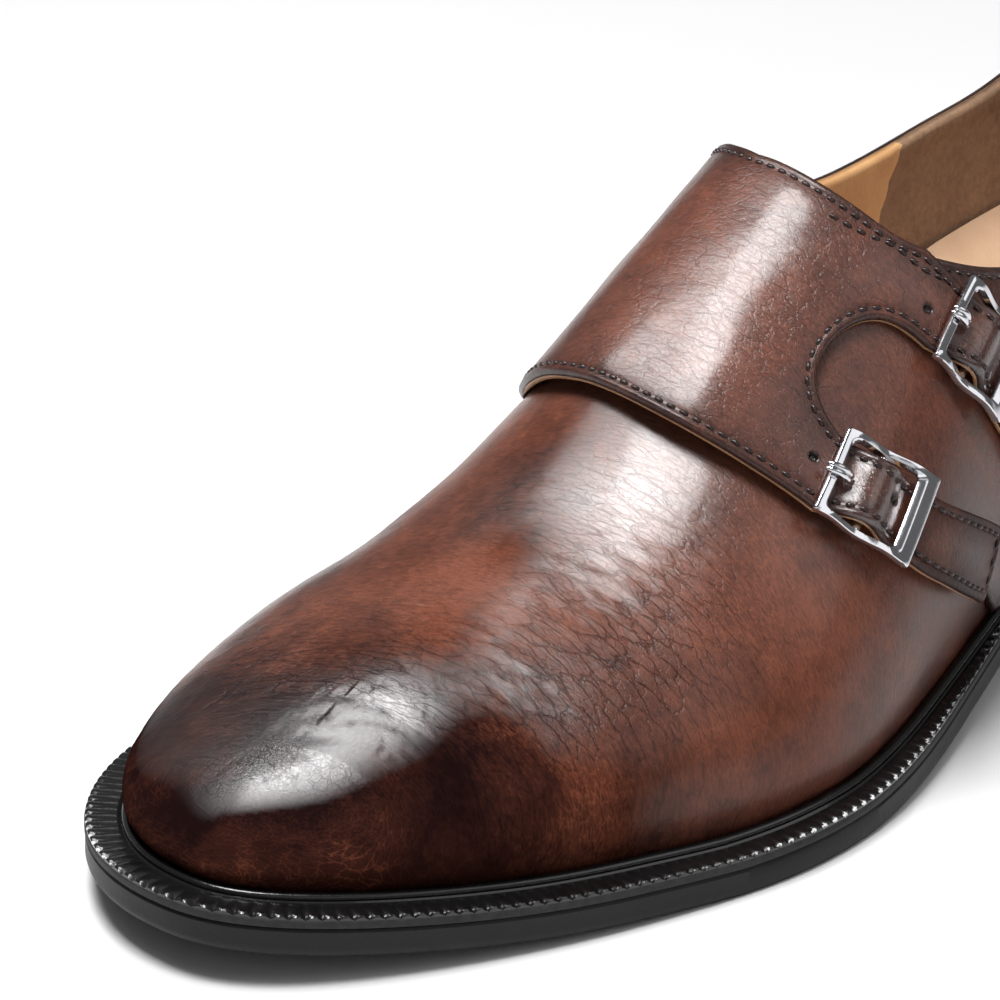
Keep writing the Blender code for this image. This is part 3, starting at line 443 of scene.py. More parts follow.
def hole_rings(holes, radii):
    """A point in the middle of each punched hole and rings of points round it."""
    turn = around(14)
    steps = surface_steps(holes["run"], holes["angle"], np.array([0.0, 1.0, 0.3]))
    circle = np.concatenate([[[0, 0]]] + [r * np.column_stack([np.cos(turn), np.sin(turn)]) for r in radii])
    centre = np.column_stack([holes["run"], holes["angle"]])
    return (centre[:, None] + np.einsum("kij,nj->kni", steps, circle)).reshape(-1, 2)


def hole_distance(pattern, holes):
    """Millimetres from each point to the nearest hole's middle."""
    centre = last_surface(holes["run"], holes["angle"])
    return np.linalg.norm(last_surface(*pattern.T)[:, None] - centre, axis=-1).min(1)


def pattern_mesh(outline, spacing, rings, holes=None):
    """Points and triangles of a flat pattern, and each point's distance to the outline."""
    edge_line, _ = resample(outline, spacing[0])
    layers = [edge_line]
    for distance in rings:
        ring = inset_line(edge_line, distance)
        layers.append(ring[edge_distance(ring, edge_line) > distance * RING_KEPT])
    low, high = outline.min(0), outline.max(0)
    x = np.arange(low[0], high[0], spacing[1])
    y = np.arange(low[1], high[1], spacing[1] * 0.8)
    grid_x, grid_y = np.meshgrid(x, y)
    grid_x = grid_x + (np.arange(len(y)) % 2)[:, None] * spacing[1] / 2
    middle = np.column_stack([grid_x.ravel(), grid_y.ravel()])
    middle = middle[inside_outline(middle, edge_line)]
    layers.append(middle[edge_distance(middle, edge_line) > rings[-1] + spacing[1] * 0.4])
    points = np.vstack(layers)
    if holes:
        keep = np.arange(len(points)) < len(edge_line)
        points = points[keep | (hole_distance(points, holes) > HOLE_CLEAR)]
        points = np.vstack([points, hole_rings(holes, HOLE_RINGS)])
    sides = [(i, (i + 1) % len(edge_line)) for i in range(len(edge_line))]
    made = delaunay_2d_cdt([Vector(p) for p in points], sides, [], 1, 1e-6)
    flat = np.array([tuple(p) for p in made[0]])
    return flat, np.array(made[2]), edge_distance(flat, edge_line)


print("helpers ready")

# %% [markdown]
# ## Finishes: helpers for node materials
#
# Every finish is a Principled shader with nodes on its colour, roughness and bump. The nodes read the
# piece's own Object coordinates, in metres, so a scale of 1000 makes cells about a millimetre wide. A
# value stored on the points, such as how dark the edge of a panel was burnished, comes in by name.


# %% Node helpers
def new_finish(name):
    """An empty material, its node tree and its shader."""
    made = bpy.data.materials.new(name)
    made.use_nodes = True
    return made, made.node_tree, made.node_tree.nodes["Principled BSDF"]


def add(tree, kind, inputs=None, **settings):
    """A node with its settings; an input is a socket to link or a plain value."""
    node = tree.nodes.new("ShaderNode" + kind)
    for key, value in settings.items():
        setattr(node, key, value)
    for key, value in (inputs or {}).items():
        if isinstance(value, bpy.types.NodeSocket):
            tree.links.new(value, node.inputs[key])
        else:
            node.inputs[key].default_value = value
    return node


def ramp(tree, source, stops):
    """A colour ramp from (place, colour) stops."""
    node = add(tree, "ValToRGB", {"Fac": source})
    while len(node.color_ramp.elements) < len(stops):
        node.color_ramp.elements.new(0.5)
    for element, (place, colour) in zip(node.color_ramp.elements, stops):
        element.position = place
        element.color = (*colour, 1)
    return node.outputs["Color"]


def maths(tree, operation, a, b=0.0, c=0.0):
    """One Math node's value."""
    return add(tree, "Math", {0: a, 1: b, 2: c}, operation=operation).outputs[0]


def tint(red, green, blue):
    """Linear colour from display values of 0 to 255: ((v + 0.055) / 1.055)^2.4, or v / 12.92 if dark."""
    v = np.array([red, green, blue]) / 255
    return tuple(np.where(v > 0.04045, ((v + 0.055) / 1.055) ** 2.4, v / 12.92))


def remap(tree, value, start=0.0, end=1.0, first=0.0, last=1.0, **settings):
    """A value taken from the range start to end onto the range first to last, and held beyond it."""
    ends = {"Value": value, "From Min": start, "From Max": end, "To Min": first, "To Max": last}
    return add(tree, "MapRange", ends, **settings).outputs[0]


def object_place(tree):
    """The piece's own coordinates, in metres."""
    return add(tree, "TexCoord").outputs["Object"]


def point_value(tree, name):
    """A number stored on the piece's points."""
    return add(tree, "Attribute", attribute_name=name, attribute_type="GEOMETRY").outputs["Fac"]


def clouds(tree, place, scale, detail, rough=0.65):
    """A soft random value near one half with finer layers in it, each this rough beside the last."""
    settings = {"Vector": place, "Scale": scale, "Detail": detail, "Roughness": rough}
    return add(tree, "TexNoise", settings).outputs["Fac"]


def bumped(tree, shader, layers):
    """A chain of Bump nodes, from the broadest layer to the finest, each given as its height, its
    distance in metres and its strength."""
    normal = None
    for height, distance, strength in layers:
        inputs = {"Height": height, "Distance": distance, "Strength": strength}
        if normal is not None:
            inputs["Normal"] = normal
        normal = add(tree, "Bump", inputs).outputs["Normal"]
    tree.links.new(normal, shader.inputs["Normal"])


print("material helpers ready")

# %% [markdown]
# ## Brown burnished leather
#
# The leather is calf that was dyed by hand: an orange-brown ground under darker patches, nearly black
# at the edges and over the toe, with a glaze on top. Patches, a finer mottle and a brushed grain mix the
# colours on one ramp. Three values stored on the points do the rest. The first, the burnish, pulls the
# colour to espresso: for the burnished toe and edges, and as painted shade on the inner side, turned
# from the lights, and in the dips of the strap holes. Polish takes the surface from brushed and dull to
# glazed under the shader's coat, and where the leather is worn it has a crackle, whose lines also darken
# the colour as painted shade. The crackle is a Voronoi pattern whose cells a noise has shaken, and the
# grain and the crackle run along the arcs in which a shoe creases round its toe.


# %% Where the leather is creased
TOE_CENTRE = np.array([4.0, -128.0])
FLOW_SQUEEZE, FLOW_SLANT = 0.55, 0.15


def flow_distance(place):
    """Millimetres from the toe's middle, squeezed and slanted across the shoe: sqrt((q dx)^2 +
    (dy - s dx)^2). Its level lines are arcs round the toe that open into crosswise lines on the vamp."""
    dx, dy = place[..., 0] - TOE_CENTRE[0], place[..., 1] - TOE_CENTRE[1]
    return np.hypot(FLOW_SQUEEZE * dx, dy - FLOW_SLANT * dx)


def flow_place(tree, place, squeeze):
    """The same distance as nodes, in metres, with across and up times the squeeze, so that a pattern
    on these coordinates is drawn out along the arcs."""
    centre = (TOE_CENTRE + SHIFT[:2]) * MM
    moved = add(tree, "VectorMath", {0: place, 1: (*centre, 0.0)}, operation="SUBTRACT").outputs[0]
    split = add(tree, "SeparateXYZ", {0: moved}).outputs
    slant = maths(tree, "MULTIPLY_ADD", split["X"], -FLOW_SLANT, split["Y"])
    squeezed = maths(tree, "MULTIPLY", split["X"], FLOW_SQUEEZE)
    plan = add(tree, "CombineXYZ", {"X": squeezed, "Y": slant}).outputs[0]
    distance = add(tree, "VectorMath", {0: plan}, operation="LENGTH").outputs["Value"]
    across, up = (maths(tree, "MULTIPLY", split[axis], squeeze) for axis in "XZ")
    return add(tree, "CombineXYZ", {"X": distance, "Y": across, "Z": up}).outputs[0]


def crackle(tree, vector, scale, width):
    """Thin lines between the cells of a Voronoi pattern: 1 on a line, 0 beyond this share of a cell. A
    noise, 1.6 times as fine as the cells, moves every place by up to 0.8 of a cell first."""
    shake = add(tree, "TexNoise", {"Vector": vector, "Scale": scale * 1.6, "Detail": 2.0}).outputs["Color"]
    reach = (0.8 / scale,) * 3
    shaken = add(tree, "VectorMath", {0: shake, 1: reach, 2: vector}, operation="MULTIPLY_ADD").outputs[0]
    cells = add(tree, "TexVoronoi", {"Vector": shaken, "Scale": scale}, feature="DISTANCE_TO_EDGE")
    return remap(tree, cells.outputs["Distance"], 0.0, width, 1.0, 0.0, interpolation_type="SMOOTHSTEP")


print("flow distance over the ball:", flow_distance(np.array([0.0, -60.0])).round(1), "mm from the toe")

# %% Brown leather
def by_polish(tree, polish, brushed, glazed):
    """A value that goes evenly from the brushed one to the glazed one as the polish goes from -1 to 1."""
    return remap(tree, polish, -1.0, 1.0, brushed, glazed)


def brown_leather(name, ground, dark, deep, squeeze):
    """Calf leather: patches, cloudy mottling, brushed grain and lighter fibres in the lighter patches. The
    burnish value darkens it, and also carries painted shade; the polish takes it from brushed to glazed;
    and where it is worn it has creases, whose lines are darkened a little as painted shade."""
    made, tree, shader = new_finish(name)
    place = object_place(tree)
    flow = flow_place(tree, place, squeeze)
    away = remap(tree, add(tree, "SeparateXYZ", {0: flow}).outputs["X"], 0.010, 0.022)
    followed = add(tree, "Mix", {"Factor": away, 4: place, 5: flow}, data_type="VECTOR").outputs[1]
    patches = clouds(tree, place, 42.0, 4.0)
    mottle = clouds(tree, place, 190.0, 5.0)
    grain = clouds(tree, followed, 1900.0, 4.0)
    worn = point_value(tree, "worn")
    creases = maths(tree, "MULTIPLY", crackle(tree, followed, 430.0, 0.08), worn)
    fine = maths(tree, "MULTIPLY", crackle(tree, followed, 1150.0, 0.12), maths(tree, "ADD", worn, 0.35))
    fibres = maths(tree, "MULTIPLY", crackle(tree, flow, 1500.0, 0.1), maths(tree, "SUBTRACT", patches, 0.38))
    tone = -0.3
    # The crease lines take from the tone, so they are painted darker: painted shade in the creases.
    for layer, amount in ((patches, 0.8), (mottle, 0.5), (grain, 0.6), (fibres, 1.1), (creases, -0.18)):
        tone = maths(tree, "MULTIPLY_ADD", layer, amount, tone)
    tone = maths(tree, "SUBTRACT", tone, point_value(tree, "burnish_and_painted_shade"))
    bright = tuple(np.array(ground) * [1.9, 1.9, 1.8])
    colour = ramp(tree, tone, ((0.0, deep), (0.34, dark), (0.62, ground), (0.95, bright)))
    polish = point_value(tree, "polish")
    dull = maths(tree, "MULTIPLY_ADD", mottle, 0.16, by_polish(tree, polish, 0.44, 0.10))
    shine = by_polish(tree, polish, 0.0, 1.0)
    for value, socket in ((colour, "Base Color"), (dull, "Roughness"), (shine, "Specular IOR Level"),
                          (shine, "Coat Weight")):
        tree.links.new(value, shader.inputs[socket])
    bumped(tree, shader, ((maths(tree, "MULTIPLY", creases, -1.0), 0.0002, 0.8),
                          (maths(tree, "MULTIPLY", fine, -1.0), 0.00012, 0.4), (grain, 0.00016, 0.5)))
    shader.inputs["Coat Roughness"].default_value = 0.2
    return made


DARK, DEEP = tint(52, 27, 21), tint(24, 12, 12)
VAMP_LEATHER = brown_leather("vamp_leather", tint(82, 45, 33), DARK, DEEP, 0.28)
QUARTER_LEATHER = brown_leather("quarter_leather", tint(80, 43, 31), DARK, DEEP, 0.4)
print("brown leather:", len(VAMP_LEATHER.node_tree.nodes), "nodes")

# %% Plain finishes
def plain_finish(name, light, dark, scale, rough, bump, grain, metal=0.0, coat=0.0):
    """Two display tones of one colour, cloudy at one scale, with a fine grain at another."""
    made, tree, shader = new_finish(name)
    place = object_place(tree)
    mottle = clouds(tree, place, scale, 5.0, 0.6)
    tree.links.new(ramp(tree, mottle, ((0.3, tint(*dark)), (0.7, tint(*light)))), shader.inputs["Base Color"])
    tree.links.new(remap(tree, mottle, 0.0, 1.0, rough - 0.07, rough + 0.07), shader.inputs["Roughness"])
    bumped(tree, shader, ((clouds(tree, place, grain, 3.0, 0.5), bump, 0.5),))
    shader.inputs["Metallic"].default_value = metal
    shader.inputs["Coat Weight"].default_value = coat
    return made


TAN_LINING = plain_finish("tan_lining_leather", (184, 143, 104), (160, 116, 82), 60, 0.5, 0.0002, 1500)
INSOLE_LEATHER = plain_finish("insole_leather", (200, 168, 138), (186, 150, 120), 50, 0.55, 0.0002, 1600)
WELT_RUBBER = plain_finish("polished_welt_rubber", (18, 17, 18), (11, 11, 12), 200, 0.25, 0.0001, 1800,
                           coat=0.3)
SANDED_BAND = plain_finish("sanded_band", (48, 48, 49), (29, 29, 30), 500, 0.62, 0.0002, 1500)
SOLE_RUBBER = plain_finish("sole_rubber", (27, 27, 28), (19, 19, 20), 90, 0.48, 0.00015, 1500)
HEEL_STACK = plain_finish("heel_stack_leather", (52, 46, 44), (32, 28, 27), 120, 0.42, 0.0002, 900)
THREAD = plain_finish("waxed_thread", (48, 30, 27), (26, 17, 16), 700, 0.3, 0.0001, 3000)
STEEL = plain_finish("polished_steel", (226, 226, 230), (208, 208, 214), 60, 0.12, 0.00002, 900, 1.0)
for dull in (SOLE_RUBBER, SANDED_BAND):
    dull.node_tree.nodes["Principled BSDF"].inputs["Specular IOR Level"].default_value = 0.25
print("plain finishes ready")

# %% [markdown]
# ## Vamp and toe
#
# The vamp is the front of the shoe, one piece of calf pulled over the last. Here it runs on as the
# tongue under the flap and back under the quarters, so it is one surface: a grid of runs along the
# shoe and shares from the feather line up. Wear creases are soft troughs. A smooth random field, made of
# plane waves, is zero along long wandering lines, and a trough follows each such line.

# %% Creases
CREASE_RANDOM = np.random.default_rng(7)
WAVES = CREASE_RANDOM.normal(size=(6, 16, 3))
PHASES = CREASE_RANDOM.uniform(0, 2 * np.pi, (6, 16))


def wandering(place, which):
    """A smooth random field of unit size: the sum of 16 plane waves whose lengths are near one unit."""
    x, y, z = np.moveaxis(place, -1, 0)
    waves = unit(WAVES[which]) * (2 * np.pi * np.linspace(0.7, 1.3, WAVES.shape[1]))[:, None]
    field = np.zeros(x.shape)
    for wave, phase in zip(waves, PHASES[which]):
        field = field + np.sin(wave[0] * x + wave[1] * y + wave[2] * z + phase)
    return field / np.sqrt(len(waves) / 2)


def flow_creases(points, which, spacing, stretch, width):
    """Troughs from 0 to 1 along the zero lines of a field that is drawn out along the flow lines:
    exp(-(f / width)^2)."""
    across, up = (points[..., axis] / (spacing * stretch) for axis in (0, 2))
    field = wandering(np.stack([flow_distance(points) / spacing, across, up], -1), which)
    return np.exp(-((field / width) ** 2))


def above_feather(angle):
    """Degrees above the feather line of the nearer side."""
    return np.minimum(angle, 180 - angle)


def near(points, x, y, radius):
    """1 at a place on plan, falling to 0 as exp(-(d / radius)^2)."""
    return np.exp(-(np.hypot(points[..., 0] - x, points[..., 1] - y) / radius) ** 2)


def near_any(points, spots):
    """The largest value of near() over several spots, each an x, a y and a radius."""
    return np.maximum.reduce([near(points, *spot) for spot in spots])


FLEX_SPOTS = ((30, -68, 17), (25, -89, 15), (32, -50, 10))
TOE_ARCS = ((-32, -104, 13), (6, -104, 18), (-16, -112, 12))


def vamp_relief(run, angle):
    """Height over the last in millimetres: flex creases where the foot bends, finer arcs behind the
    toe, and a slow unevenness everywhere."""
    place = last_surface(run, angle)
    low = np.minimum(smooth_step(angle, 6, 26), fade(angle, 154, 174))
    relief = -0.16 * near_any(place, FLEX_SPOTS) * flow_creases(place, 0, 3.4, 5.0, 0.3)
    relief = relief - 0.10 * near_any(place, TOE_ARCS) * flow_creases(place, 1, 2.8, 5.0, 0.3)
    relief = relief - 0.07 * flow_creases(place, 2, 5.5, 4.0, 0.2)
    return (relief + 0.09 * wandering(place / 19, 3)) * low * smooth_step(run, 120, 150)


print("relief over the ball:", vamp_relief(np.linspace(205, 225, 4), np.full(4, 60.0)).round(2), "mm")

# %% A shell over the last
TOPLINE = {side: drawn_line(COLLAR["run"], COLLAR[side], 1.0) for side in ("outer", "inner")}
THROAT = COLLAR["run"][-1]
WELT_SHELF = 7.8  # the upper's foot rests this high above the underside of the sole


def collar_angle(run, side):
    """Angle of the topline above the feather line of one side."""
    return np.interp(run, TOPLINE[side][:, 0], TOPLINE[side][:, 1])


def weld(points, faces):
    """One number for each distinct point, and the faces renumbered."""
    _, first, index = np.unique(np.round(points, 3), axis=0, return_index=True, return_inverse=True)
    return first, index.reshape(-1)[faces]


def face_lists(faces):
    """Faces as lists, where corners that fell together are written once."""
    same = faces == np.roll(faces, 1, axis=1)
    whole = faces[~same.any(1)].tolist()
    pairs = zip(faces[same.any(1)].tolist(), same[same.any(1)].tolist())
    cut = [[corner for corner, double in zip(face, flags) if not double] for face, flags in pairs]
    return whole + [face for face in cut if len(set(face)) > 2]


def wall_between(outer, inner, faces):
    """A closed wall: the outer sheet, the inner one turned round, and a strip along every open edge.
    Also gives which point of the sheet each point of the wall came from."""
    first, sheet = weld(outer, np.asarray(faces))
    count = len(first)
    starts, ends = sheet.reshape(-1), np.roll(sheet, -1, axis=1).reshape(-1)
    real = starts != ends
    starts, ends = starts[real], ends[real]
    key = np.minimum(starts, ends).astype(np.int64) * count + np.maximum(starts, ends)
    _, index, seen = np.unique(key, return_inverse=True, return_counts=True)
    rim = seen[index.reshape(-1)] == 1
    a, b = starts[rim], ends[rim]
    strip = np.stack([b, a, a + count, b + count], -1)
    lists = face_lists(sheet) + face_lists(sheet[:, ::-1] + count) + strip.tolist()
    return np.vstack([outer[first], inner[first]]), lists, np.concatenate([first, first])


def upper_runs():
    """Runs from the heel's back to the toe's tip: close over the vamp, wider behind the throat."""
    heel = np.linspace(HEEL_BACK_RUN, HEEL_AXIS, 22)[:-1]
    quarters = np.linspace(HEEL_AXIS, 124, 34)[:-1]
    throat = np.linspace(124, THROAT, 22)[:-1]
    vamp = np.linspace(THROAT, TOE_AXIS, 82)[:-1]
    return np.concatenate([heel, quarters, throat, vamp, np.linspace(TOE_AXIS, TOE_TIP_RUN, 64)])


def shell_grid(rows, short):
    """Run and angle over both sides, up to some millimetres short of the topline, and the quads."""
    runs = upper_runs()
    share = np.linspace(0, 1, rows)
    run, share = np.meshgrid(runs, share, indexing="ij")
    grids, faces = [], []
    for number, side in enumerate(("outer", "inner")):
        top = collar_angle(runs, side)
        per_degree = np.linalg.norm(last_surface(runs, top) - last_surface(runs, top - 1), axis=1)
        top = np.where(runs < THROAT - 0.01, top - short / per_degree, 90)
        up = share * top[:, None]
        grids.append(np.stack([run, up if side == "outer" else 180 - up], -1))
        quads = grid_quads(len(runs), rows) + number * run.size
        faces.append(quads if side == "outer" else quads[:, ::-1])
    return np.stack(grids), np.vstack(faces)


def with_skirt(sheet):
    """A first row under the feather line, at the level of the welt's shelf."""
    skirt = sheet[:, :, :1].copy()
    skirt[..., 2] -= FEATHER_RISE - WELT_SHELF
    return np.concatenate([skirt, sheet], axis=2)


def skirt_faces(faces, rows):
    """The same quads for a grid with one more row at its start, and the quads of that row."""
    row, place = faces // rows, faces % rows
    first = place.min(1) == 0
    low = row[first] * (rows + 1) + place[first]
    return np.vstack([row * (rows + 1) + place + 1, low])


def shell_wall(outside, inside, faces):
    """A closed wall between two sheets of the shell, each with its skirt, and the number of the grid
    point that each of its points came from."""
    faces = skirt_faces(faces, outside.shape[2])
    outer, inner = with_skirt(outside), with_skirt(inside)
    points, lists, source = wall_between(outer.reshape(-1, 3), inner.reshape(-1, 3), faces)
    number = np.arange(outside[..., 0].size).reshape(outside.shape[:3])
    return points, lists, np.concatenate([number[:, :, :1], number], 2).reshape(-1)[source]


print("shell:", len(upper_runs()), "runs")

# %% Vamp
VAMP_ROWS, VAMP_THICK = 84, 0.8
TOE_TONE = 0.5
PATCHES = table("x y radius tone", (
    (-3, -74, 11, -0.10), (0, -86, 9, -0.08), (46, -69, 11, -0.12), (40, -98, 9, -0.05),
    (48, -39, 11, -0.10), (50, -52, 9, -0.08), (-4, -59, 9, 0.12), (6, -59, 8, 0.12),
    (43, -81, 9, 0.10), (42, -48, 8, 0.07), (20, -80, 12, 0.05), (-36, -70, 16, 0.10),
))
POLISHED = table("x y radius tone", (
    (-3, -128, 8, 1.3), (1, -117, 9, 1.4), (7, -106, 7, 1.2), (18, -133, 10, -1.6), (22, -119, 9, -1.4),
    (27, -103, 10, -1.3), (7, -140, 9, -1.6), (-14, -140, 10, -0.6), (-12, -76, 14, -0.65),
    (-30, -56, 14, -0.5), (5, -86, 12, -0.7), (-12, -97, 11, -0.45), (2, -67, 8, -0.7),
    (12, -50, 10, 0.2), (22, -70, 9, -0.5), (-8, -45, 11, -0.8), (40, -50, 14, -0.6), (36, -78, 14, -0.4),
))
WORN_SPOTS = ((30, -68, 20), (25, -89, 17), (6, -104, 18), (-32, -104, 14), (-14, -112, 14))


def with_spots(value, place, spots):
    """The value plus each spot's tone times exp(-(d / radius)^2), d being how far the place is from it."""
    for x, y, radius, tone in np.stack(list(spots.values()), -1):
        value = value + tone * near(place, x, y, radius)
    return value


def vamp_burnish_and_shade(run, angle):
    """How far the colour is pulled towards espresso: fully over the toe, a little along the feather line,
    in soft patches over the vamp, and up the inner side, turned from the lights, as painted shade; a
    negative tone leaves the ground more orange."""
    place = last_surface(run, angle)
    toe = TOE_TONE * fade(flow_distance(place), 20, 47)
    side = above_feather(angle)
    edge = 0.16 * fade(side, 2, 14) * fade(run, 225, 262)
    tone = np.maximum(toe - 0.10 * fade(side, 14, 30) * (toe > 0.2), edge)
    # The last term darkens the inner side, turned from the lights: painted shade.
    return with_spots(tone, place, PATCHES) + 0.14 * smooth_step(angle, 120, 160)


def vamp_polish(run, angle):
    """Where the toe was glazed, 1, and where it was only brushed, towards -1; 0 is the rest."""
    place = last_surface(run, angle)
    polish = with_spots(np.zeros(np.shape(run)), place, POLISHED)
    toe = (0.35 + 0.75 * fade(above_feather(angle), 22, 42)) * fade(flow_distance(place), 30, 50)
    return np.clip(polish - toe - 0.45 * fade(angle, 24, 50), -1, 1)


def vamp_wear(run, angle):
    """How worn the leather is, 0 to 1: most where the foot bends and in the arcs behind the toe."""
    return near_any(last_surface(run, angle), WORN_SPOTS) * 0.9 + 0.1


grid, faces = shell_grid(VAMP_ROWS, 1.6)
run, angle = grid[..., 0], grid[..., 1]
outside = off_last(run, angle, vamp_relief(run, angle))
points, lists, source = shell_wall(outside, off_last(run, angle, -VAMP_THICK), faces)
run, angle = run.reshape(-1)[source], angle.reshape(-1)[source]
new_piece("vamp", points, lists, VAMP_LEATHER,
          {"burnish_and_painted_shade": vamp_burnish_and_shade(run, angle), "polish": vamp_polish(run, angle),
           "worn": vamp_wear(run, angle)}, replaces=("upper",))

# %% [markdown]
# ## Lining
#
# Inside, the shoe is lined: smooth tan leather in front, suede round the heel where it grips the foot.
# The lining lies against the vamp and comes up to the topline, where its cut edge shows as a tan band.

# %% Lining
LINING_ROWS = 34
LINING_OUTER, LINING_INNER = -0.86, -1.6  # heights of its two faces over the last
LINING_LIP, EDGE_HOLLOW = 1.2, 0.25  # how far it comes up at the topline, and sinks under it
SEAM_RUN, SEAM_ANGLE, SEAM_LEAN, SEAM_WIDTH, SEAM_RIDGE = 72.7, 22.6, 0.8, 0.9, 0.35


def lining_leather():
    """Smooth tan leather in front and brown suede behind the seam, told apart by the points' distance
    past the seam in millimetres."""
    made, tree, shader = new_finish("lining_leather")
    place = object_place(tree)
    mottle = clouds(tree, place, 70.0, 5.0)
    nap = clouds(tree, place, 700.0, 4.0, 0.7)
    suede = remap(tree, point_value(tree, "past_seam"), 0.3, 0.6)
    smooth = ramp(tree, mottle, ((0.3, tint(176, 128, 84)), (0.7, tint(208, 162, 112))))
    rough = ramp(tree, maths(tree, "MULTIPLY_ADD", nap, 0.6, maths(tree, "MULTIPLY", mottle, 0.4)),
                 ((0.3, tint(106, 80, 60)), (0.7, tint(150, 118, 92))))
    colour = add(tree, "Mix", {"Factor": suede, 6: smooth, 7: rough}, data_type="RGBA").outputs[2]
    tree.links.new(colour, shader.inputs["Base Color"])
    tree.links.new(maths(tree, "MULTIPLY_ADD", suede, 0.4, 0.48), shader.inputs["Roughness"])
    pores = add(tree, "TexVoronoi", {"Vector": place, "Scale": 1400.0}, feature="SMOOTH_F1")
    fibre = maths(tree, "MULTIPLY_ADD", nap, maths(tree, "MULTIPLY", suede, 2.5), pores.outputs["Distance"])
    bumped(tree, shader, ((fibre, 0.0002, 0.4),))
    return made


LINING_LEATHER = lining_leather()


def seam_run(angle):
    """Where the lining's side seam crosses each height: it leans forward as it goes down."""
    return SEAM_RUN + SEAM_LEAN * (SEAM_ANGLE - above_feather(angle))


grid, faces = shell_grid(LINING_ROWS, 0.0)
run, angle = grid[..., 0], grid[..., 1]
share = np.linspace(0, 1, LINING_ROWS)[None, None]
at_top = smooth_step(share, 0.985, 1.0) * (run < THROAT)
seam_gap = (run - seam_run(angle)) / SEAM_WIDTH
ridge = SEAM_RIDGE * np.exp(-(seam_gap**2)) * (run < THROAT)
hollow = EDGE_HOLLOW * np.sin(np.pi * np.clip(share * 8 - 7, 0, 1))
points, lists, source = shell_wall(off_last(run, angle, LINING_OUTER + LINING_LIP * at_top),
                                   off_last(run, angle, LINING_INNER + ridge - hollow), faces)
past_seam = -SEAM_WIDTH * seam_gap.reshape(-1)[source]
new_piece("lining", points, lists, LINING_LEATHER, {"past_seam": past_seam}, replaces=("upper",))

# %% [markdown]
# ## Panels that lie on the last
#
# A quarter or a flap is cut flat and lasted over the vamp. Its outline is drawn on the last as run and
# angle. The panel's outer face stands off the last by the layers under it and its own thickness, and
# near its edge the face rolls down as a folded and burnished edge does.

# %% Pattern tables
QUARTER_FRONT = table("run angle", (
    (150, 67), (165, 68.5), (177, 63), (179, 54), (173, 43), (165, 32.5), (155, 23), (146, 14),
    (138, 7), (131, 0.6),
))
FLAP_FRONT = table("run angle", (
    (135, 179.4), (145, 169.5), (158, 157), (170, 144.5), (179, 133), (184, 124.5), (186.8, 117.5),
    (188.5, 110.5), (189.5, 103.5), (190.2, 94), (190.4, 84.5), (189.6, 73.5), (187, 63.5),
))
KEYHOLE = table("run angle", (
    (170.2, 54.5), (168.3, 58.4), (163.9, 59.4), (158.8, 58), (153.8, 54.5), (150.6, 50.2),
))
STRAP_FRONT = table("run angle half_width", (
    (175.7, 49.8, 7.3), (173.2, 46.1, 6.5), (170.4, 41.8, 6.1), (167.6, 37.6, 6.2), (165, 33.9, 6.5),
    (161.2, 29, 6.8), (157, 24.6, 6.9), (149.5, 18, 7.1), (142, 12.6, 7.1),
))
STRAP_REAR = table("run angle half_width", (
    (142.4, 46.2, 7.2), (139.9, 42.3, 6.5), (137.3, 38.1, 6.1), (134.8, 34.3, 6.2), (132.3, 30.8, 6.5),
    (129.2, 26.9, 6.8), (125.8, 22.6, 6.9), (120, 15.4, 7.1), (117.6, 12.6, 7.1),
))
STRAP_HOLES = table("run angle", ((176.5, 53.0), (145.0, 48.6), (168.0, 39.4)))
STRAPS = {"front": STRAP_FRONT, "rear": STRAP_REAR}
BUCKLE_ROW, BUCKLE_HALF_WIDTH = 2, 8.75
CENTRE_BAR_AT, STRAP_BUMP, BUMP_REACH = -1.0, 2.8, 7.0
FOOT_ANGLE, FOOT_STEP = 0.6, 3.0
QUARTER_FOOT, FLAP_FOOT = 131.0, 133.0  # how far along the feather line each reaches
QUARTER_CORNER = (142.6, 58.5)  # where the quarter's topline runs in under the flap
print("pattern rows:", len(FLAP_FRONT["run"]), len(STRAP_FRONT["run"]))

# %% Straps on the last
PANEL_LOW, LEATHER_THICK, LINING_THICK = 0.5, 1.3, 0.9
OVER_QUARTER, INSTEP_GAP = 1.8, 2.3


def strap_steps(strap):
    """The step matrices along a strap's middle line, headed along it."""
    centre = last_surface(strap["run"], strap["angle"])
    return surface_steps(strap["run"], strap["angle"], np.gradient(centre, axis=0))


def strap_edges(strap, spacing=1.2):
    """Both edges of a strap as run and angle, from its root to its end."""
    centre = np.column_stack([strap["run"], strap["angle"]])
    aside = strap_steps(strap)[:, :, 1] * strap["half_width"][:, None]
    return [drawn_line(*(centre + way * aside).T, spacing) for way in (1, -1)]


def buckle_place(strap):
    """Where a strap carries its buckle, and the step matrix there."""
    centre = np.array([strap["run"][BUCKLE_ROW], strap["angle"][BUCKLE_ROW]])
    return centre, strap_steps(strap)[BUCKLE_ROW]


def on_buckle(strap, along, across, height):
    """Points given along a strap, across it, and above the last, in millimetres."""
    centre, step = buckle_place(strap)
    moved = centre + np.stack([along, across], -1) @ step.T
    return off_last(moved[..., 0], moved[..., 1], height)


def over_bar(along):
    """1 over a buckle's centre bar, falling to 0 on both sides of it as cos^2."""
    return np.cos(np.clip((along - CENTRE_BAR_AT) / BUMP_REACH, -1, 1) * np.pi / 2) ** 2


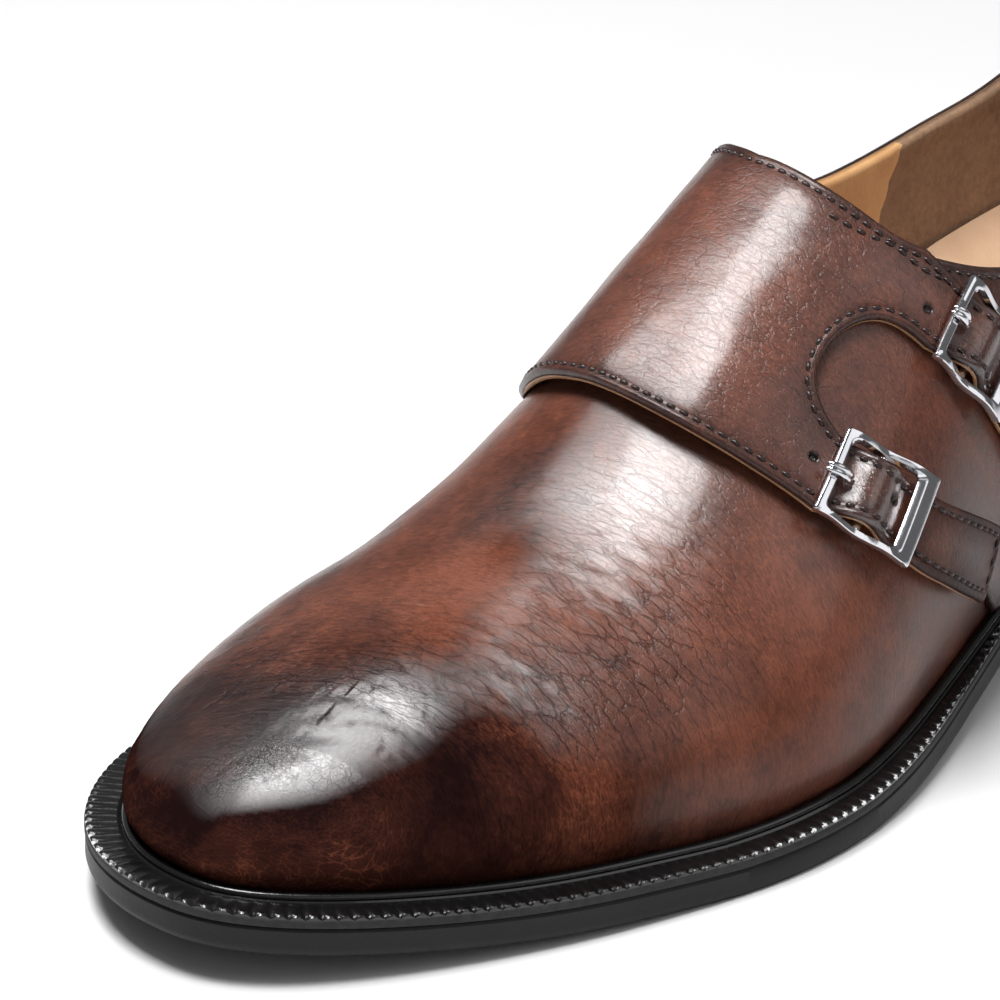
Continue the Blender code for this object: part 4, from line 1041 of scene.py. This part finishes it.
def strap_bump(run, angle):
    """How far a strap is lifted over its buckle's centre bar: a hump h cos^2, 14 mm long."""
    lift = 0
    for strap in STRAPS.values():
        centre, step = buckle_place(strap)
        local = (np.stack([run, angle], -1) - centre) @ np.linalg.inv(step).T
        wide = np.abs(local[..., 1]) < BUCKLE_HALF_WIDTH
        lift = lift + STRAP_BUMP * over_bar(local[..., 0]) * wide
    return lift


def flap_low(run, angle):
    """Inner face of the flap: over the vamp on the inner side, over the quarter on the outer, and
    standing off the instep towards its front edge."""
    low = PANEL_LOW + OVER_QUARTER * fade(angle, 72, 104)
    ridge = smooth_step(angle, 56, 76) * fade(angle, 104, 128)
    return low + INSTEP_GAP * smooth_step(run, 140, 188) * ridge + strap_bump(run, angle)


def flap_thick(run, angle):
    """One leather on the inner side, doubled by a lining towards the instep."""
    return LEATHER_THICK + LINING_THICK * smooth_step(run, 100, 140) * fade(angle, 112, 140)


print("strap widths:", [round(2 * float(s["half_width"][-1]), 1) for s in STRAPS.values()], "mm")

# %% Outlines
PANEL_BACK = HEEL_BACK_RUN + 0.2


def topline_between(side, start, end):
    """The part of the topline between two runs, from the first to the second."""
    line = TOPLINE[side].copy()
    if side == "inner":
        line[:, 1] = 180 - line[:, 1]
    low, high = sorted((start, end))
    line = line[(line[:, 0] > low) & (line[:, 0] < high)]
    return line[::-1] if start > end else line


def foot_line(runs, angle):
    """A stretch of a panel's foot or heel seam from runs and angles, either of which may be one number."""
    return np.column_stack(np.broadcast_arrays(runs, angle))


def join_parts(parts):
    """One closed line from named parts, the number of its part for each point, and the parts' names."""
    names = [name for name, _ in parts]
    lines = [np.asarray(line) for _, line in parts]
    number = np.concatenate([np.full(len(line), k) for k, line in enumerate(lines)])
    return np.vstack(lines), number, names


def quarter_parts():
    """Heel seam, topline, the edge hidden under the flap, and the feather line."""
    top_run, top_angle = QUARTER_CORNER
    seam = np.linspace(FOOT_ANGLE, collar_angle(PANEL_BACK, "outer"), 8)
    front = drawn_line(np.append(top_run, QUARTER_FRONT["run"]), np.append(top_angle, QUARTER_FRONT["angle"]),
                       2.5)
    return join_parts((
        ("topline", topline_between("outer", PANEL_BACK, top_run)),
        ("front", front),
        ("foot", foot_line(np.arange(QUARTER_FOOT, PANEL_BACK, -FOOT_STEP)[1:], FOOT_ANGLE)),
        ("seam", foot_line(PANEL_BACK, seam)),
    ))


def flap_parts():
    """Inner quarter, flap and both straps as one closed line."""
    front_upper, front_lower = strap_edges(STRAP_FRONT)
    rear_upper, rear_lower = strap_edges(STRAP_REAR)
    front = drawn_line(np.append(FLAP_FRONT["run"], front_lower[0, 0]),
                       np.append(FLAP_FRONT["angle"], front_lower[0, 1]), 1.5)
    hole_run = np.concatenate([front_upper[:1, 0], KEYHOLE["run"], rear_lower[:1, 0]])
    hole_angle = np.concatenate([front_upper[:1, 1], KEYHOLE["angle"], rear_lower[:1, 1]])
    seam = np.linspace(180 - collar_angle(PANEL_BACK, "inner"), 180 - FOOT_ANGLE, 12)[:-1]
    return join_parts((
        ("foot", foot_line(np.arange(PANEL_BACK, FLAP_FOOT, FOOT_STEP), 180 - FOOT_ANGLE)),
        ("front", front[:-1]),
        ("front strap", np.vstack([front_lower, front_upper[::-1]])),
        ("keyhole", drawn_line(hole_run, hole_angle, 1.2)[1:-1]),
        ("rear strap", np.vstack([rear_lower, rear_upper[::-1]])),
        ("top", topline_between("outer", 139, THROAT - 0.2)),
        ("inner top", topline_between("inner", THROAT + 1, PANEL_BACK)),
        ("seam", foot_line(PANEL_BACK, seam)),
    ))


QUARTER_LINE, QUARTER_PART, QUARTER_NAMES = quarter_parts()
FLAP_LINE, FLAP_PART, FLAP_NAMES = flap_parts()
print("outline points:", len(QUARTER_LINE), len(FLAP_LINE))


# %% Quarter and flap
STITCH_INSET, HOLE_DEPTH, PANEL_WEAR = 1.9, 0.9, 0.3


def rolled(distance, radius):
    """How far a rounded edge lies under the face: r (1 - sqrt(1 - (1 - d / r)^2)) inside the radius."""
    inside = np.clip(1 - distance / radius, 0, 1)
    return radius * (1 - np.sqrt(1 - inside**2))


def bell(distance, middle, width):
    """1 at a distance, falling off on both sides of it as exp(-((d - m) / w)^2)."""
    return np.exp(-(((distance - middle) / width) ** 2))


def stitch_groove(distance):
    """The soft channel that a row of stitches pulls along an edge, and the roll outside it."""
    return 0.2 * bell(distance, STITCH_INSET, 0.5) - 0.1 * bell(distance, 0.9, 0.5)


def panel(name, pattern, low, high, finish, values, replaces):
    """A panel between two heights over the last, from a flat pattern."""
    flat, faces, _ = pattern
    run, angle = flat.T
    points, lists, source = wall_between(off_last(run, angle, high), off_last(run, angle, low), faces)
    values = {key: value[source] for key, value in values.items()}
    return new_piece(name, points, lists, finish, values, replaces=replaces)


quarter_pattern = pattern_mesh(QUARTER_LINE, (1.6, 3.2), (0.3, 0.8, 1.4, 1.9, 2.6))
run, angle = quarter_pattern[0].T
near_edge = quarter_pattern[2]
top = PANEL_LOW + LEATHER_THICK - rolled(near_edge, 0.8) - stitch_groove(near_edge)
panel("outer_quarter", quarter_pattern, np.full(len(run), PANEL_LOW), top, QUARTER_LEATHER,
      {"burnish_and_painted_shade": 0.34 * np.exp(-near_edge / 5), "polish": 0.4 * np.exp(-near_edge / 4) - 0.3,
       "worn": np.full(len(run), PANEL_WEAR)},
      ("quarter_outer",))

flap_pattern = pattern_mesh(FLAP_LINE, (1.0, 1.7), (0.3, 0.7, 1.1, 1.5, 1.9, 2.3, 3.0), STRAP_HOLES)
run, angle = flap_pattern[0].T
near_edge = flap_pattern[2]
low, thick = flap_low(run, angle), flap_thick(run, angle)
lined = smooth_step(thick, 1.5, 2.1)
to_hole = hole_distance(flap_pattern[0], STRAP_HOLES)
place = last_surface(run, angle)
creases = smooth_step(near_edge, 3, 9) * flow_creases(place, 5, 4.5, 3.0, 0.22)
unevenness = 0.10 * wandering(place / 16, 4) - 0.10 * creases
high = low + thick - rolled(near_edge, 0.9) - stitch_groove(near_edge)
high = high + unevenness * smooth_step(near_edge, 0.5, 4)
high = high - HOLE_DEPTH * fade(to_hole, 0.5, 0.9) + 0.1 * bell(to_hole, 1.2, 0.35)
# Darker at the burnished edges and low on the outer side; the dips of the strap holes and the inner side,
# turned from the lights, are darkened as painted shade.
burnish_and_painted_shade = 0.34 * np.exp(-near_edge / 3.5) + 0.5 * fade(to_hole, 0.7, 1.3)
burnish_and_painted_shade = burnish_and_painted_shade + 0.16 * smooth_step(angle, 108, 128) + 0.12 * fade(angle, 22, 40)
polish = 0.3 * smooth_step(near_edge, 1, 8) - 0.35 - 0.4 * fade(angle, 22, 42)
polish = np.clip(polish + 0.9 * strap_bump(run, angle) / STRAP_BUMP, -1, 1)
panel("flap_and_straps", flap_pattern, low + LINING_THICK * lined, high, QUARTER_LEATHER,
      {"burnish_and_painted_shade": burnish_and_painted_shade, "polish": polish, "worn": np.full(len(run), PANEL_WEAR)},
      ("monk_flap",))
panel("flap_lining", flap_pattern, low, low + 0.86 * lined + 0.02, TAN_LINING, {}, ("monk_flap",))

# %% [markdown]
# ## Stitching
#
# Stitches are what makes a shoe look sewn. Each is a short rounded piece of waxed thread that dives into
# the leather at both ends. One stitch has only 36 faces, and arrays place hundreds of them at once along
# a line inside the panel's edge, turned to the surface under them.


# %% Stitches
STITCH_PITCH, STITCH_LENGTH, STITCH_RADIUS = 2.6, 2.05, 0.42


def stitch_shape():
    """One stitch along X: seven rings whose radius is r sqrt(1 - (2x / L)^4), with ends that dive by
    1.2 r (2x / L)^4."""
    share = np.array([-0.5, -0.42, -0.22, 0.0, 0.22, 0.42, 0.5])[:, None]
    x = share * STITCH_LENGTH
    toward_end = (2 * x / STITCH_LENGTH) ** 4
    size = STITCH_RADIUS * np.sqrt(np.maximum(1 - toward_end, 0))
    dive = -1.2 * STITCH_RADIUS * toward_end
    turn = around(6)
    rings = np.stack([x + 0 * turn, size * np.cos(turn), dive + size * np.sin(turn)], -1)
    return rings.reshape(-1, 3), np.array(face_lists(grid_quads(7, 6, wrap=True)))


def stitch_row(line, height):
    """Points and faces of a row of stitches along a pattern line, at a height over the last."""
    run, angle = line.T
    place = off_last(run, angle, height)
    along = way_along(place)
    count = int(along[-1] // STITCH_PITCH)
    middle = (np.arange(count) + 0.5) * along[-1] / max(count, 1)
    at = lambda distance: np.stack([np.interp(distance, along, place[:, k]) for k in range(3)], -1)
    ahead = at(middle + 0.4) - at(middle - 0.4)
    up = last_normal(np.interp(middle, along, run), np.interp(middle, along, angle))
    ahead = unit(ahead - up * np.sum(up * ahead, -1, keepdims=True))
    frame = np.stack([ahead, np.cross(up, ahead), up], -2)
    shape, faces = stitch_shape()
    points = at(middle)[:, None] + np.einsum("nj,kji->kni", shape, frame)
    numbers = faces[None] + (np.arange(count) * len(shape))[:, None, None]
    return points.reshape(-1, 3), numbers.reshape(-1, 4)


def inset_rows(outline, part, names, wanted, distance):
    """The stretches of an outline's inset line that belong to the wanted parts."""
    dense, start = resample(outline, 0.6)
    ring = inset_line(dense, distance)
    apart = edge_distance(ring, dense) > distance * RING_KEPT
    index = np.flatnonzero(apart & np.isin(np.array(names)[part[start]], wanted))
    pieces = np.split(index, np.flatnonzero(np.diff(index) > 6) + 1)
    return [ring[piece] for piece in pieces if len(piece) > 8]


def stitching(name, rows, finish, replaces):
    """One piece from many rows."""
    offsets = np.cumsum([0] + [len(points) for points, _ in rows])
    faces = np.vstack([numbers + start for (_, numbers), start in zip(rows, offsets)])
    points = np.vstack([points for points, _ in rows])
    return new_piece(name, points, faces, finish, replaces=replaces)


def flap_top(line):
    """Height of the flap's face in the stitch groove."""
    return flap_low(*line.T) + flap_thick(*line.T) - 0.06


FLAP_SEWN = ("front", "front strap", "keyhole", "rear strap", "top", "inner top")
THROAT_SEAM = table("run angle", ((150.2, 71.0), (147.2, 62.8), (144.7, 58.5), (142.4, 53.0), (139.2, 48.8)))
rows = [stitch_row(line, flap_top(line))
        for line in inset_rows(FLAP_LINE, FLAP_PART, FLAP_NAMES, FLAP_SEWN, STITCH_INSET)]
rows += [stitch_row(line, np.full(len(line), 1.7))
         for line in inset_rows(QUARTER_LINE, QUARTER_PART, QUARTER_NAMES, ("topline",), STITCH_INSET)]
seam = drawn_line(THROAT_SEAM["run"], THROAT_SEAM["angle"], 0.6)
rows.append(stitch_row(seam, flap_top(seam) + 0.12))
stitching("edge_stitching", rows, THREAD, ("monk_flap", "quarter_outer"))

# %% [markdown]
# ## Welt, outsole and heel
#
# The welt is a moulded rubber strip between the upper and the sole. Its profile is carried round the
# feather line: a sanded band at the side, a notched rim, a groove, and a round bead that stands against
# the leather. The notches are a triangle wave along the path.

# %% Sole edge helpers
WELT_POINTS = 1596
WELT_RING, WELT_LENGTH = even_ring(FEATHER, WELT_POINTS)
WELT_OUT = plan_out(WELT_RING)
WELT_WIDE = welt_width(WELT_RING)
SPINE_STATION = np.clip(station_of(WELT_RING), HEEL_AXIS, TOE_AXIS)
SPINE_PLAN = np.column_stack([read(LAST, "spine", SPINE_STATION), SOLE_LENGTH / 2 - SPINE_STATION])


def sole_row(outward, rise, inward=1.0):
    """A closed row round the sole: the feather line moved outward on plan, drawn in towards the spine,
    and set this high above the underside."""
    plan = WELT_RING[:, :2] + WELT_OUT * np.broadcast_to(outward, len(WELT_RING))[:, None]
    plan = SPINE_PLAN + (plan - SPINE_PLAN) * inward
    return np.column_stack([plan, underside(station_of(plan)) + rise])


def edge_rows(profile):
    """Closed rows from a profile: how far past the welt's edge, how high, and the share of the way out
    from the spine."""
    return [sole_row(WELT_WIDE + past, rise, *share) for past, rise, *share in profile]


def rows_piece(name, rows, finish, replaces, sharp=35.0):
    """A closed body through closed rows, the first and last lying on the spine."""
    faces = face_lists(grid_quads(len(rows), len(rows[0]), wrap=True))
    return new_piece(name, np.vstack(rows), faces, finish, replaces=replaces, sharp=sharp)


print("welt ring", round(WELT_LENGTH), "mm round")

# %% Welt
RIM, NOTCHES = OUTSOLE_THICK + BAND_THICK, 266
WELT_INSIDE, WELT_FOOT = 0.35, 7.5
wave = np.abs(((np.arange(WELT_POINTS) / WELT_POINTS * NOTCHES) % 1) * 2 - 1)
notch = np.clip(wave * 1.6 - 0.6, 0, 1)
bead = np.minimum(2.1, WELT_WIDE - 0.5)
groove = np.minimum(2.5, WELT_WIDE - 0.3)
turn = np.radians(np.array([-20, 10, 40, 70, 95, 120, 150]))
rows = edge_rows(((0.0, OUTSOLE_THICK + 0.3, 0.0), (-0.2, OUTSOLE_THICK + 0.3), (0.0, OUTSOLE_THICK + 0.5),
                  (-0.05, RIM - 0.35 - 0.5 * notch), (-0.35 - 0.2 * notch, RIM - 0.05 - 0.8 * notch),
                  (-1.3, RIM - 0.05 - 0.3 * notch)))
rows += [sole_row(groove + 0.3, RIM - 0.1), sole_row(groove, RIM - 0.6)]
rows += [sole_row(bead * (0.5 + 0.5 * np.cos(t)), RIM + 0.25 + 0.95 * np.sin(t)) for t in turn]
rows += [sole_row(WELT_INSIDE, RIM), sole_row(WELT_INSIDE, WELT_FOOT), sole_row(WELT_INSIDE, WELT_FOOT, 0.0)]
rows_piece("welt_strip", rows, WELT_RUBBER, ("welt",))

# %% Sanded band
rows = edge_rows(((-1.5, OUTSOLE_THICK + 0.32), (0.02, OUTSOLE_THICK + 0.32), (0.12, OUTSOLE_THICK + 0.6),
                  (0.12, RIM - 1.1), (-0.02, RIM - 0.9), (-1.5, RIM - 0.9)))
rows_piece("sanded_band", rows + rows[:1], SANDED_BAND, ("welt",))

# %% Outsole
rows = edge_rows(((0.0, 0.0, 0.0), (-3.0, 0.0, 0.6), (-1.2, 0.0), (-0.5, 0.15), (-0.1, 0.7), (0.05, 1.3),
                  (0.0, 1.9), (0.0, OUTSOLE_THICK - 0.5), (-0.35, OUTSOLE_THICK), (0.0, OUTSOLE_THICK, 0.0)))
rows_piece("outsole_slab", rows, SOLE_RUBBER, ("outsole",))


# %% Heel
HEEL_SIDE_END, HEEL_BREAST, BREAST_HOLLOW, HEEL_MIDDLE = 66, 68, 5, 50  # from the heel's back


def heel_line(inset):
    """Plan of the heel: the seat's outline behind the breast, closed by a hollowed breast line whose
    distance from the heel's back is b - h (1 - u^2)."""
    plan = WELT_RING[:, :2] + WELT_OUT * (WELT_WIDE - inset)[:, None]
    station = station_of(plan)
    half = WELT_POINTS // 2
    outer = plan[:half][station[:half] < HEEL_SIDE_END]
    inner = plan[half:][station[half:] < HEEL_SIDE_END]
    across = np.linspace(1, -1, 40)
    middle, reach = (outer[-1, 0] + inner[0, 0]) / 2, (outer[-1, 0] - inner[0, 0]) / 2
    breast = HEEL_BREAST - BREAST_HOLLOW * (1 - across**2)
    return np.vstack([outer, np.column_stack([middle + reach * across, SOLE_LENGTH / 2 - breast]), inner])


def heel_body(name, levels, finish, replaces):
    """A heel piece through (inset, height) levels, closed to a point in its middle at both ends; a
    height of None lies against the outsole."""
    rows = []
    for inset, height in levels:
        plan = heel_line(inset)
        top = underside(station_of(plan)) - 0.3
        rows.append(np.column_stack([plan, top if height is None else np.full(len(plan), height)]))
    low, high = (np.tile([0.0, SOLE_LENGTH / 2 - HEEL_MIDDLE, z], (len(rows[0]), 1))
                 for z in (levels[0][1], rows[-1][:, 2].max()))
    rows_piece(name, [low] + rows + [high], finish, replaces)


STACK_LEVELS = ((1.0, 6.3), (0.95, 6.5), (0.9, 10.9), (1.05, 11.1), (0.75, 11.3), (0.6, 15.8), (0.75, 16.0),
                (0.45, 16.2), (0.3, None))
LIFT_LEVELS = ((1.6, 0.0), (1.0, 0.6), (1.0, 5.7), (1.3, 6.0))
heel_body("heel_stack", STACK_LEVELS, HEEL_STACK, ("heel_block",))
heel_body("heel_top_piece", LIFT_LEVELS, SOLE_RUBBER, ("heel_lift",))

# %% Insole
HEEL_PAD, HEEL_CUP = 7.0, 6.0
FOOTBED_EDGE, FOOTBED_RIM, FOOTBED_TOP = -1.9, 9.9, 10.3
raised = fade(station_of(WELT_RING), 62, 128)
rim = FOOTBED_EDGE + raised
rows = [sole_row(FOOTBED_EDGE, WELT_SHELF, 0.0), sole_row(FOOTBED_EDGE, WELT_SHELF),
        sole_row(rim, FOOTBED_RIM + (HEEL_PAD + HEEL_CUP) * raised)]
for part in (1.0, 0.96, 0.91, 0.84, 0.74, 0.6, 0.4, 0.2, 0.0):
    rows.append(sole_row(rim - 0.35, FOOTBED_TOP + raised * (HEEL_PAD + HEEL_CUP * part**4), part))
rows_piece("footbed", rows, INSOLE_LEATHER, ("insole",))

# %% [markdown]
# ## Buckles
#
# Each buckle is a cast frame: a thin bar towards the flap, a wide bevelled bar outside, and two rails
# that dip to a centre bar which the strap passes over. The frame is an outer and an inner loop with a
# bevelled section between them, laid on the curve of the strap.


# %% Buckle frames
FRAME_HEIGHT, FRAME_DIP = 5.1, 1.7
BAR_HEIGHT, BAR_REACH, BAR_RADIUS = 3.3, 7.8, 1.1
FRAME_OUTSIDE = (-10.0, 10.2, BUCKLE_HALF_WIDTH, 0.5, 0.35)
FRAME_INSIDE = (-7.9, 6.2, 7.1, 1.5, 0.8)
FRAME_SECTION = ((0.02, 0.0), (0.0, 0.2), (0.0, 1.15), (0.02, 1.3), (0.08, 1.55), (0.12, 1.6),
                 (0.68, 1.6), (0.72, 1.56), (0.96, 0.75), (1.0, 0.6), (1.0, 0.15), (0.95, 0.0))


def bevelled_loop(back, front, half_width, round_back, round_front, count):
    """A rectangle whose corners at each end have their own radius, evenly sampled."""
    turn = np.radians(np.linspace(0, 90, 9))
    corners = ((front, 1, round_front, 0), (back, 1, round_back, 90), (back, -1, round_back, 180),
               (front, -1, round_front, 270))
    line = np.vstack([np.column_stack([
        end - np.sign(end) * radius + radius * np.cos(turn + np.radians(first)),
        way * (half_width - radius) + radius * np.sin(turn + np.radians(first)),
    ]) for end, way, radius, first in corners])
    start = np.argmin(np.hypot(line[:, 0] - front, line[:, 1]))
    return even_ring(np.roll(line, -start, axis=0), count)[0]


def buckle_frame(name, strap, replaces, count=240):
    """An outer loop with sharp corners and an inner one with soft corners, joined by a bevelled section
    of (share of the way in, rise): steep sides and a broad flat top. The rails dip by d cos^2 to carry
    the centre bar."""
    outer, inner = bevelled_loop(*FRAME_OUTSIDE, count), bevelled_loop(*FRAME_INSIDE, count)
    rows = []
    for share, rise in FRAME_SECTION:
        along, across = (outer + (inner - outer) * share).T
        rows.append(on_buckle(strap, along, across, FRAME_HEIGHT - FRAME_DIP * over_bar(along) + rise))
    faces = grid_quads(len(rows) + 1, count, wrap=True) % (len(rows) * count)
    return new_piece(name, np.vstack(rows), faces, STEEL, replaces=replaces,
                     sharp=32.0)


def strap_rod(name, strap, along, across, height, wide, tall, replaces, count=20):
    """A bar over a strap: an ellipse carried along a path, closed at both ends."""
    turn = around(count)
    heading = unit(np.column_stack([np.gradient(along), np.gradient(across)]))
    aside = wide[:, None] * np.cos(turn)
    u = along[:, None] - heading[:, 1:] * aside
    v = across[:, None] + heading[:, :1] * aside
    rows = on_buckle(strap, u, v, height[:, None] + tall[:, None] * np.sin(turn))
    start, end = (np.tile(rows[k].mean(0), (1, count, 1)) for k in (0, -1))
    return rows_piece(name, np.concatenate([start, rows, end]), STEEL, replaces, 60.0)


across = BAR_REACH * np.linspace(-1, 1, 20)
even = np.ones(20)
for which, strap in STRAPS.items():
    node = ("buckle_" + which,)
    buckle_frame("buckle_frame_" + which, strap, node)
    strap_rod("centre_bar_" + which, strap, CENTRE_BAR_AT * even, across, BAR_HEIGHT * even,
              BAR_RADIUS * even, BAR_RADIUS * even, node)

# %% Prongs
PRONG_START, PRONG_LENGTH, PRONG_HEIGHT = -11.2, 5.6, 7.3
PRONG_ASIDE, PRONG_WIDE, PRONG_TALL = 0.55, 0.6, 0.62
way = np.linspace(0, 1, 40)
blunt = np.sqrt(np.maximum(1 - np.abs(2 * way - 1) ** 6, 0.02))
height = PRONG_HEIGHT + 0.5 * np.sin(np.pi * np.clip(way * 1.25, 0, 1)) - 1.5 * way**4
for which, strap in STRAPS.items():
    for half, aside in (("lower", -PRONG_ASIDE), ("upper", PRONG_ASIDE)):
        strap_rod(f"prong_{which}_{half}", strap, PRONG_START + PRONG_LENGTH * way, np.full(40, aside),
                  height, PRONG_WIDE * blunt, PRONG_TALL * blunt, ("prong_" + which,))

# %% [markdown]
# ## Stage
#
# The shoe stands on a wide pale floor under large soft lights. The camera looks at the outer front
# quarter from a little above, with a long lens.

# %% Stage and camera
FLOOR = plain_finish("pale_floor", (226, 226, 226), (222, 222, 222), 3, 0.75, 0.00001, 50)
FLOOR_REACH = 6.0
plate = bpy.data.meshes.new("floor")
corners = np.array([(-1, -1, 0), (1, -1, 0), (1, 1, 0), (-1, 1, 0)]) * FLOOR_REACH
plate.from_pydata(corners.tolist(), [], [(0, 1, 2, 3)])
plate.materials.append(FLOOR)
floor = bpy.data.objects.new("floor", plate)
bpy.context.scene.collection.objects.link(floor)
floor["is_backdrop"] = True

CAMERA_AZIMUTH, CAMERA_ELEVATION, CAMERA_ROLL = np.radians([41.15, 26.81, 0.16])
CAMERA_DISTANCE, SENSOR_WIDTH, VIEW_WIDTH = 1500.0, 36.0, 1000 / 5.77
LENS_LENGTH = SENSOR_WIDTH * CAMERA_DISTANCE / VIEW_WIDTH
TARGET = np.array([0.0, -68.5, 58.6]) + SHIFT


def toward(azimuth, elevation):
    """Unit vector from the shoe to a place at an azimuth, 0 in front of the toe, and an elevation."""
    level = np.cos(elevation)
    return np.array([np.sin(azimuth) * level, -np.cos(azimuth) * level, np.sin(elevation)])


def turned_to(back, roll=0.0):
    """A rotation matrix whose -Z looks against back, with Z kept upright."""
    right = np.cross([0, 0, 1], back)
    right = right / np.linalg.norm(right)
    up = np.cross(back, right)
    right, up = right * np.cos(roll) + up * np.sin(roll), up * np.cos(roll) - right * np.sin(roll)
    return np.column_stack([right, up, back])


def stand_at(obj, location, turn):
    """Puts a light or the camera in the scene at a place, turned by a matrix."""
    matrix = np.eye(4)
    matrix[:3, :3] = turn
    matrix[:3, 3] = location
    obj.matrix_world = Matrix(matrix.tolist())
    bpy.context.scene.collection.objects.link(obj)


back = toward(CAMERA_AZIMUTH, CAMERA_ELEVATION)
lens = bpy.data.cameras.new("studio_camera")
lens.sensor_width = SENSOR_WIDTH
lens.lens = LENS_LENGTH
lens.clip_end = 50
camera = bpy.data.objects.new("studio_camera", lens)
stand_at(camera, (TARGET + back * CAMERA_DISTANCE) * MM, turned_to(back, CAMERA_ROLL))
bpy.context.scene.camera = camera
bpy.context.scene.view_settings.view_transform = "Standard"
print("lens", round(LENS_LENGTH), "mm")

# %% [markdown]
# The main light is a large soft box almost overhead, a little to the toe's side. Its reflection makes
# the long highlight on the instep and the flap. A small strip close above the inner side makes the one
# on the toe, and a wide dim box on the outer side is what the flat faces of the buckles reflect. The rest
# of the room is dim, so the leather keeps its depth.


# %% Lights
def softbox(name, azimuth, elevation, distance, width, height, radiance):
    """A rectangular area light that faces the shoe; power = radiance * pi * area."""
    light = bpy.data.lights.new(name, "AREA")
    light.shape = "RECTANGLE"
    light.size, light.size_y = width, height
    light.energy = radiance * np.pi * width * height
    obj = bpy.data.objects.new(name, light)
    obj.visible_camera = False
    aim = toward(np.radians(azimuth), np.radians(elevation))
    stand_at(obj, np.array([0, -0.06, 0.06]) + aim * distance, turned_to(aim))
    return obj


softbox("overhead_box", -10, 78, 1.3, 0.60, 0.46, 25)
softbox("toe_box", -75, 61, 0.218, 0.058, 0.12, 13)
softbox("side_box", 115, 40, 1.4, 1.1, 0.8, 1.1)
softbox("front_fill", 60, 30, 2.4, 1.8, 1.0, 0.5)
softbox("ceiling", 0, 89, 2.6, 3.0, 3.0, 0.55).visible_glossy = False
world = bpy.data.worlds.new("studio_world")
world.use_nodes = True
room = world.node_tree.nodes["Background"].inputs
room["Color"].default_value, room["Strength"].default_value = (1, 1, 1, 1), 0.14
bpy.context.scene.world = world

# %% Size and finish
low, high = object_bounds()
print("visual box", [round(1000 * v, 1) for v in high - low], "mm")
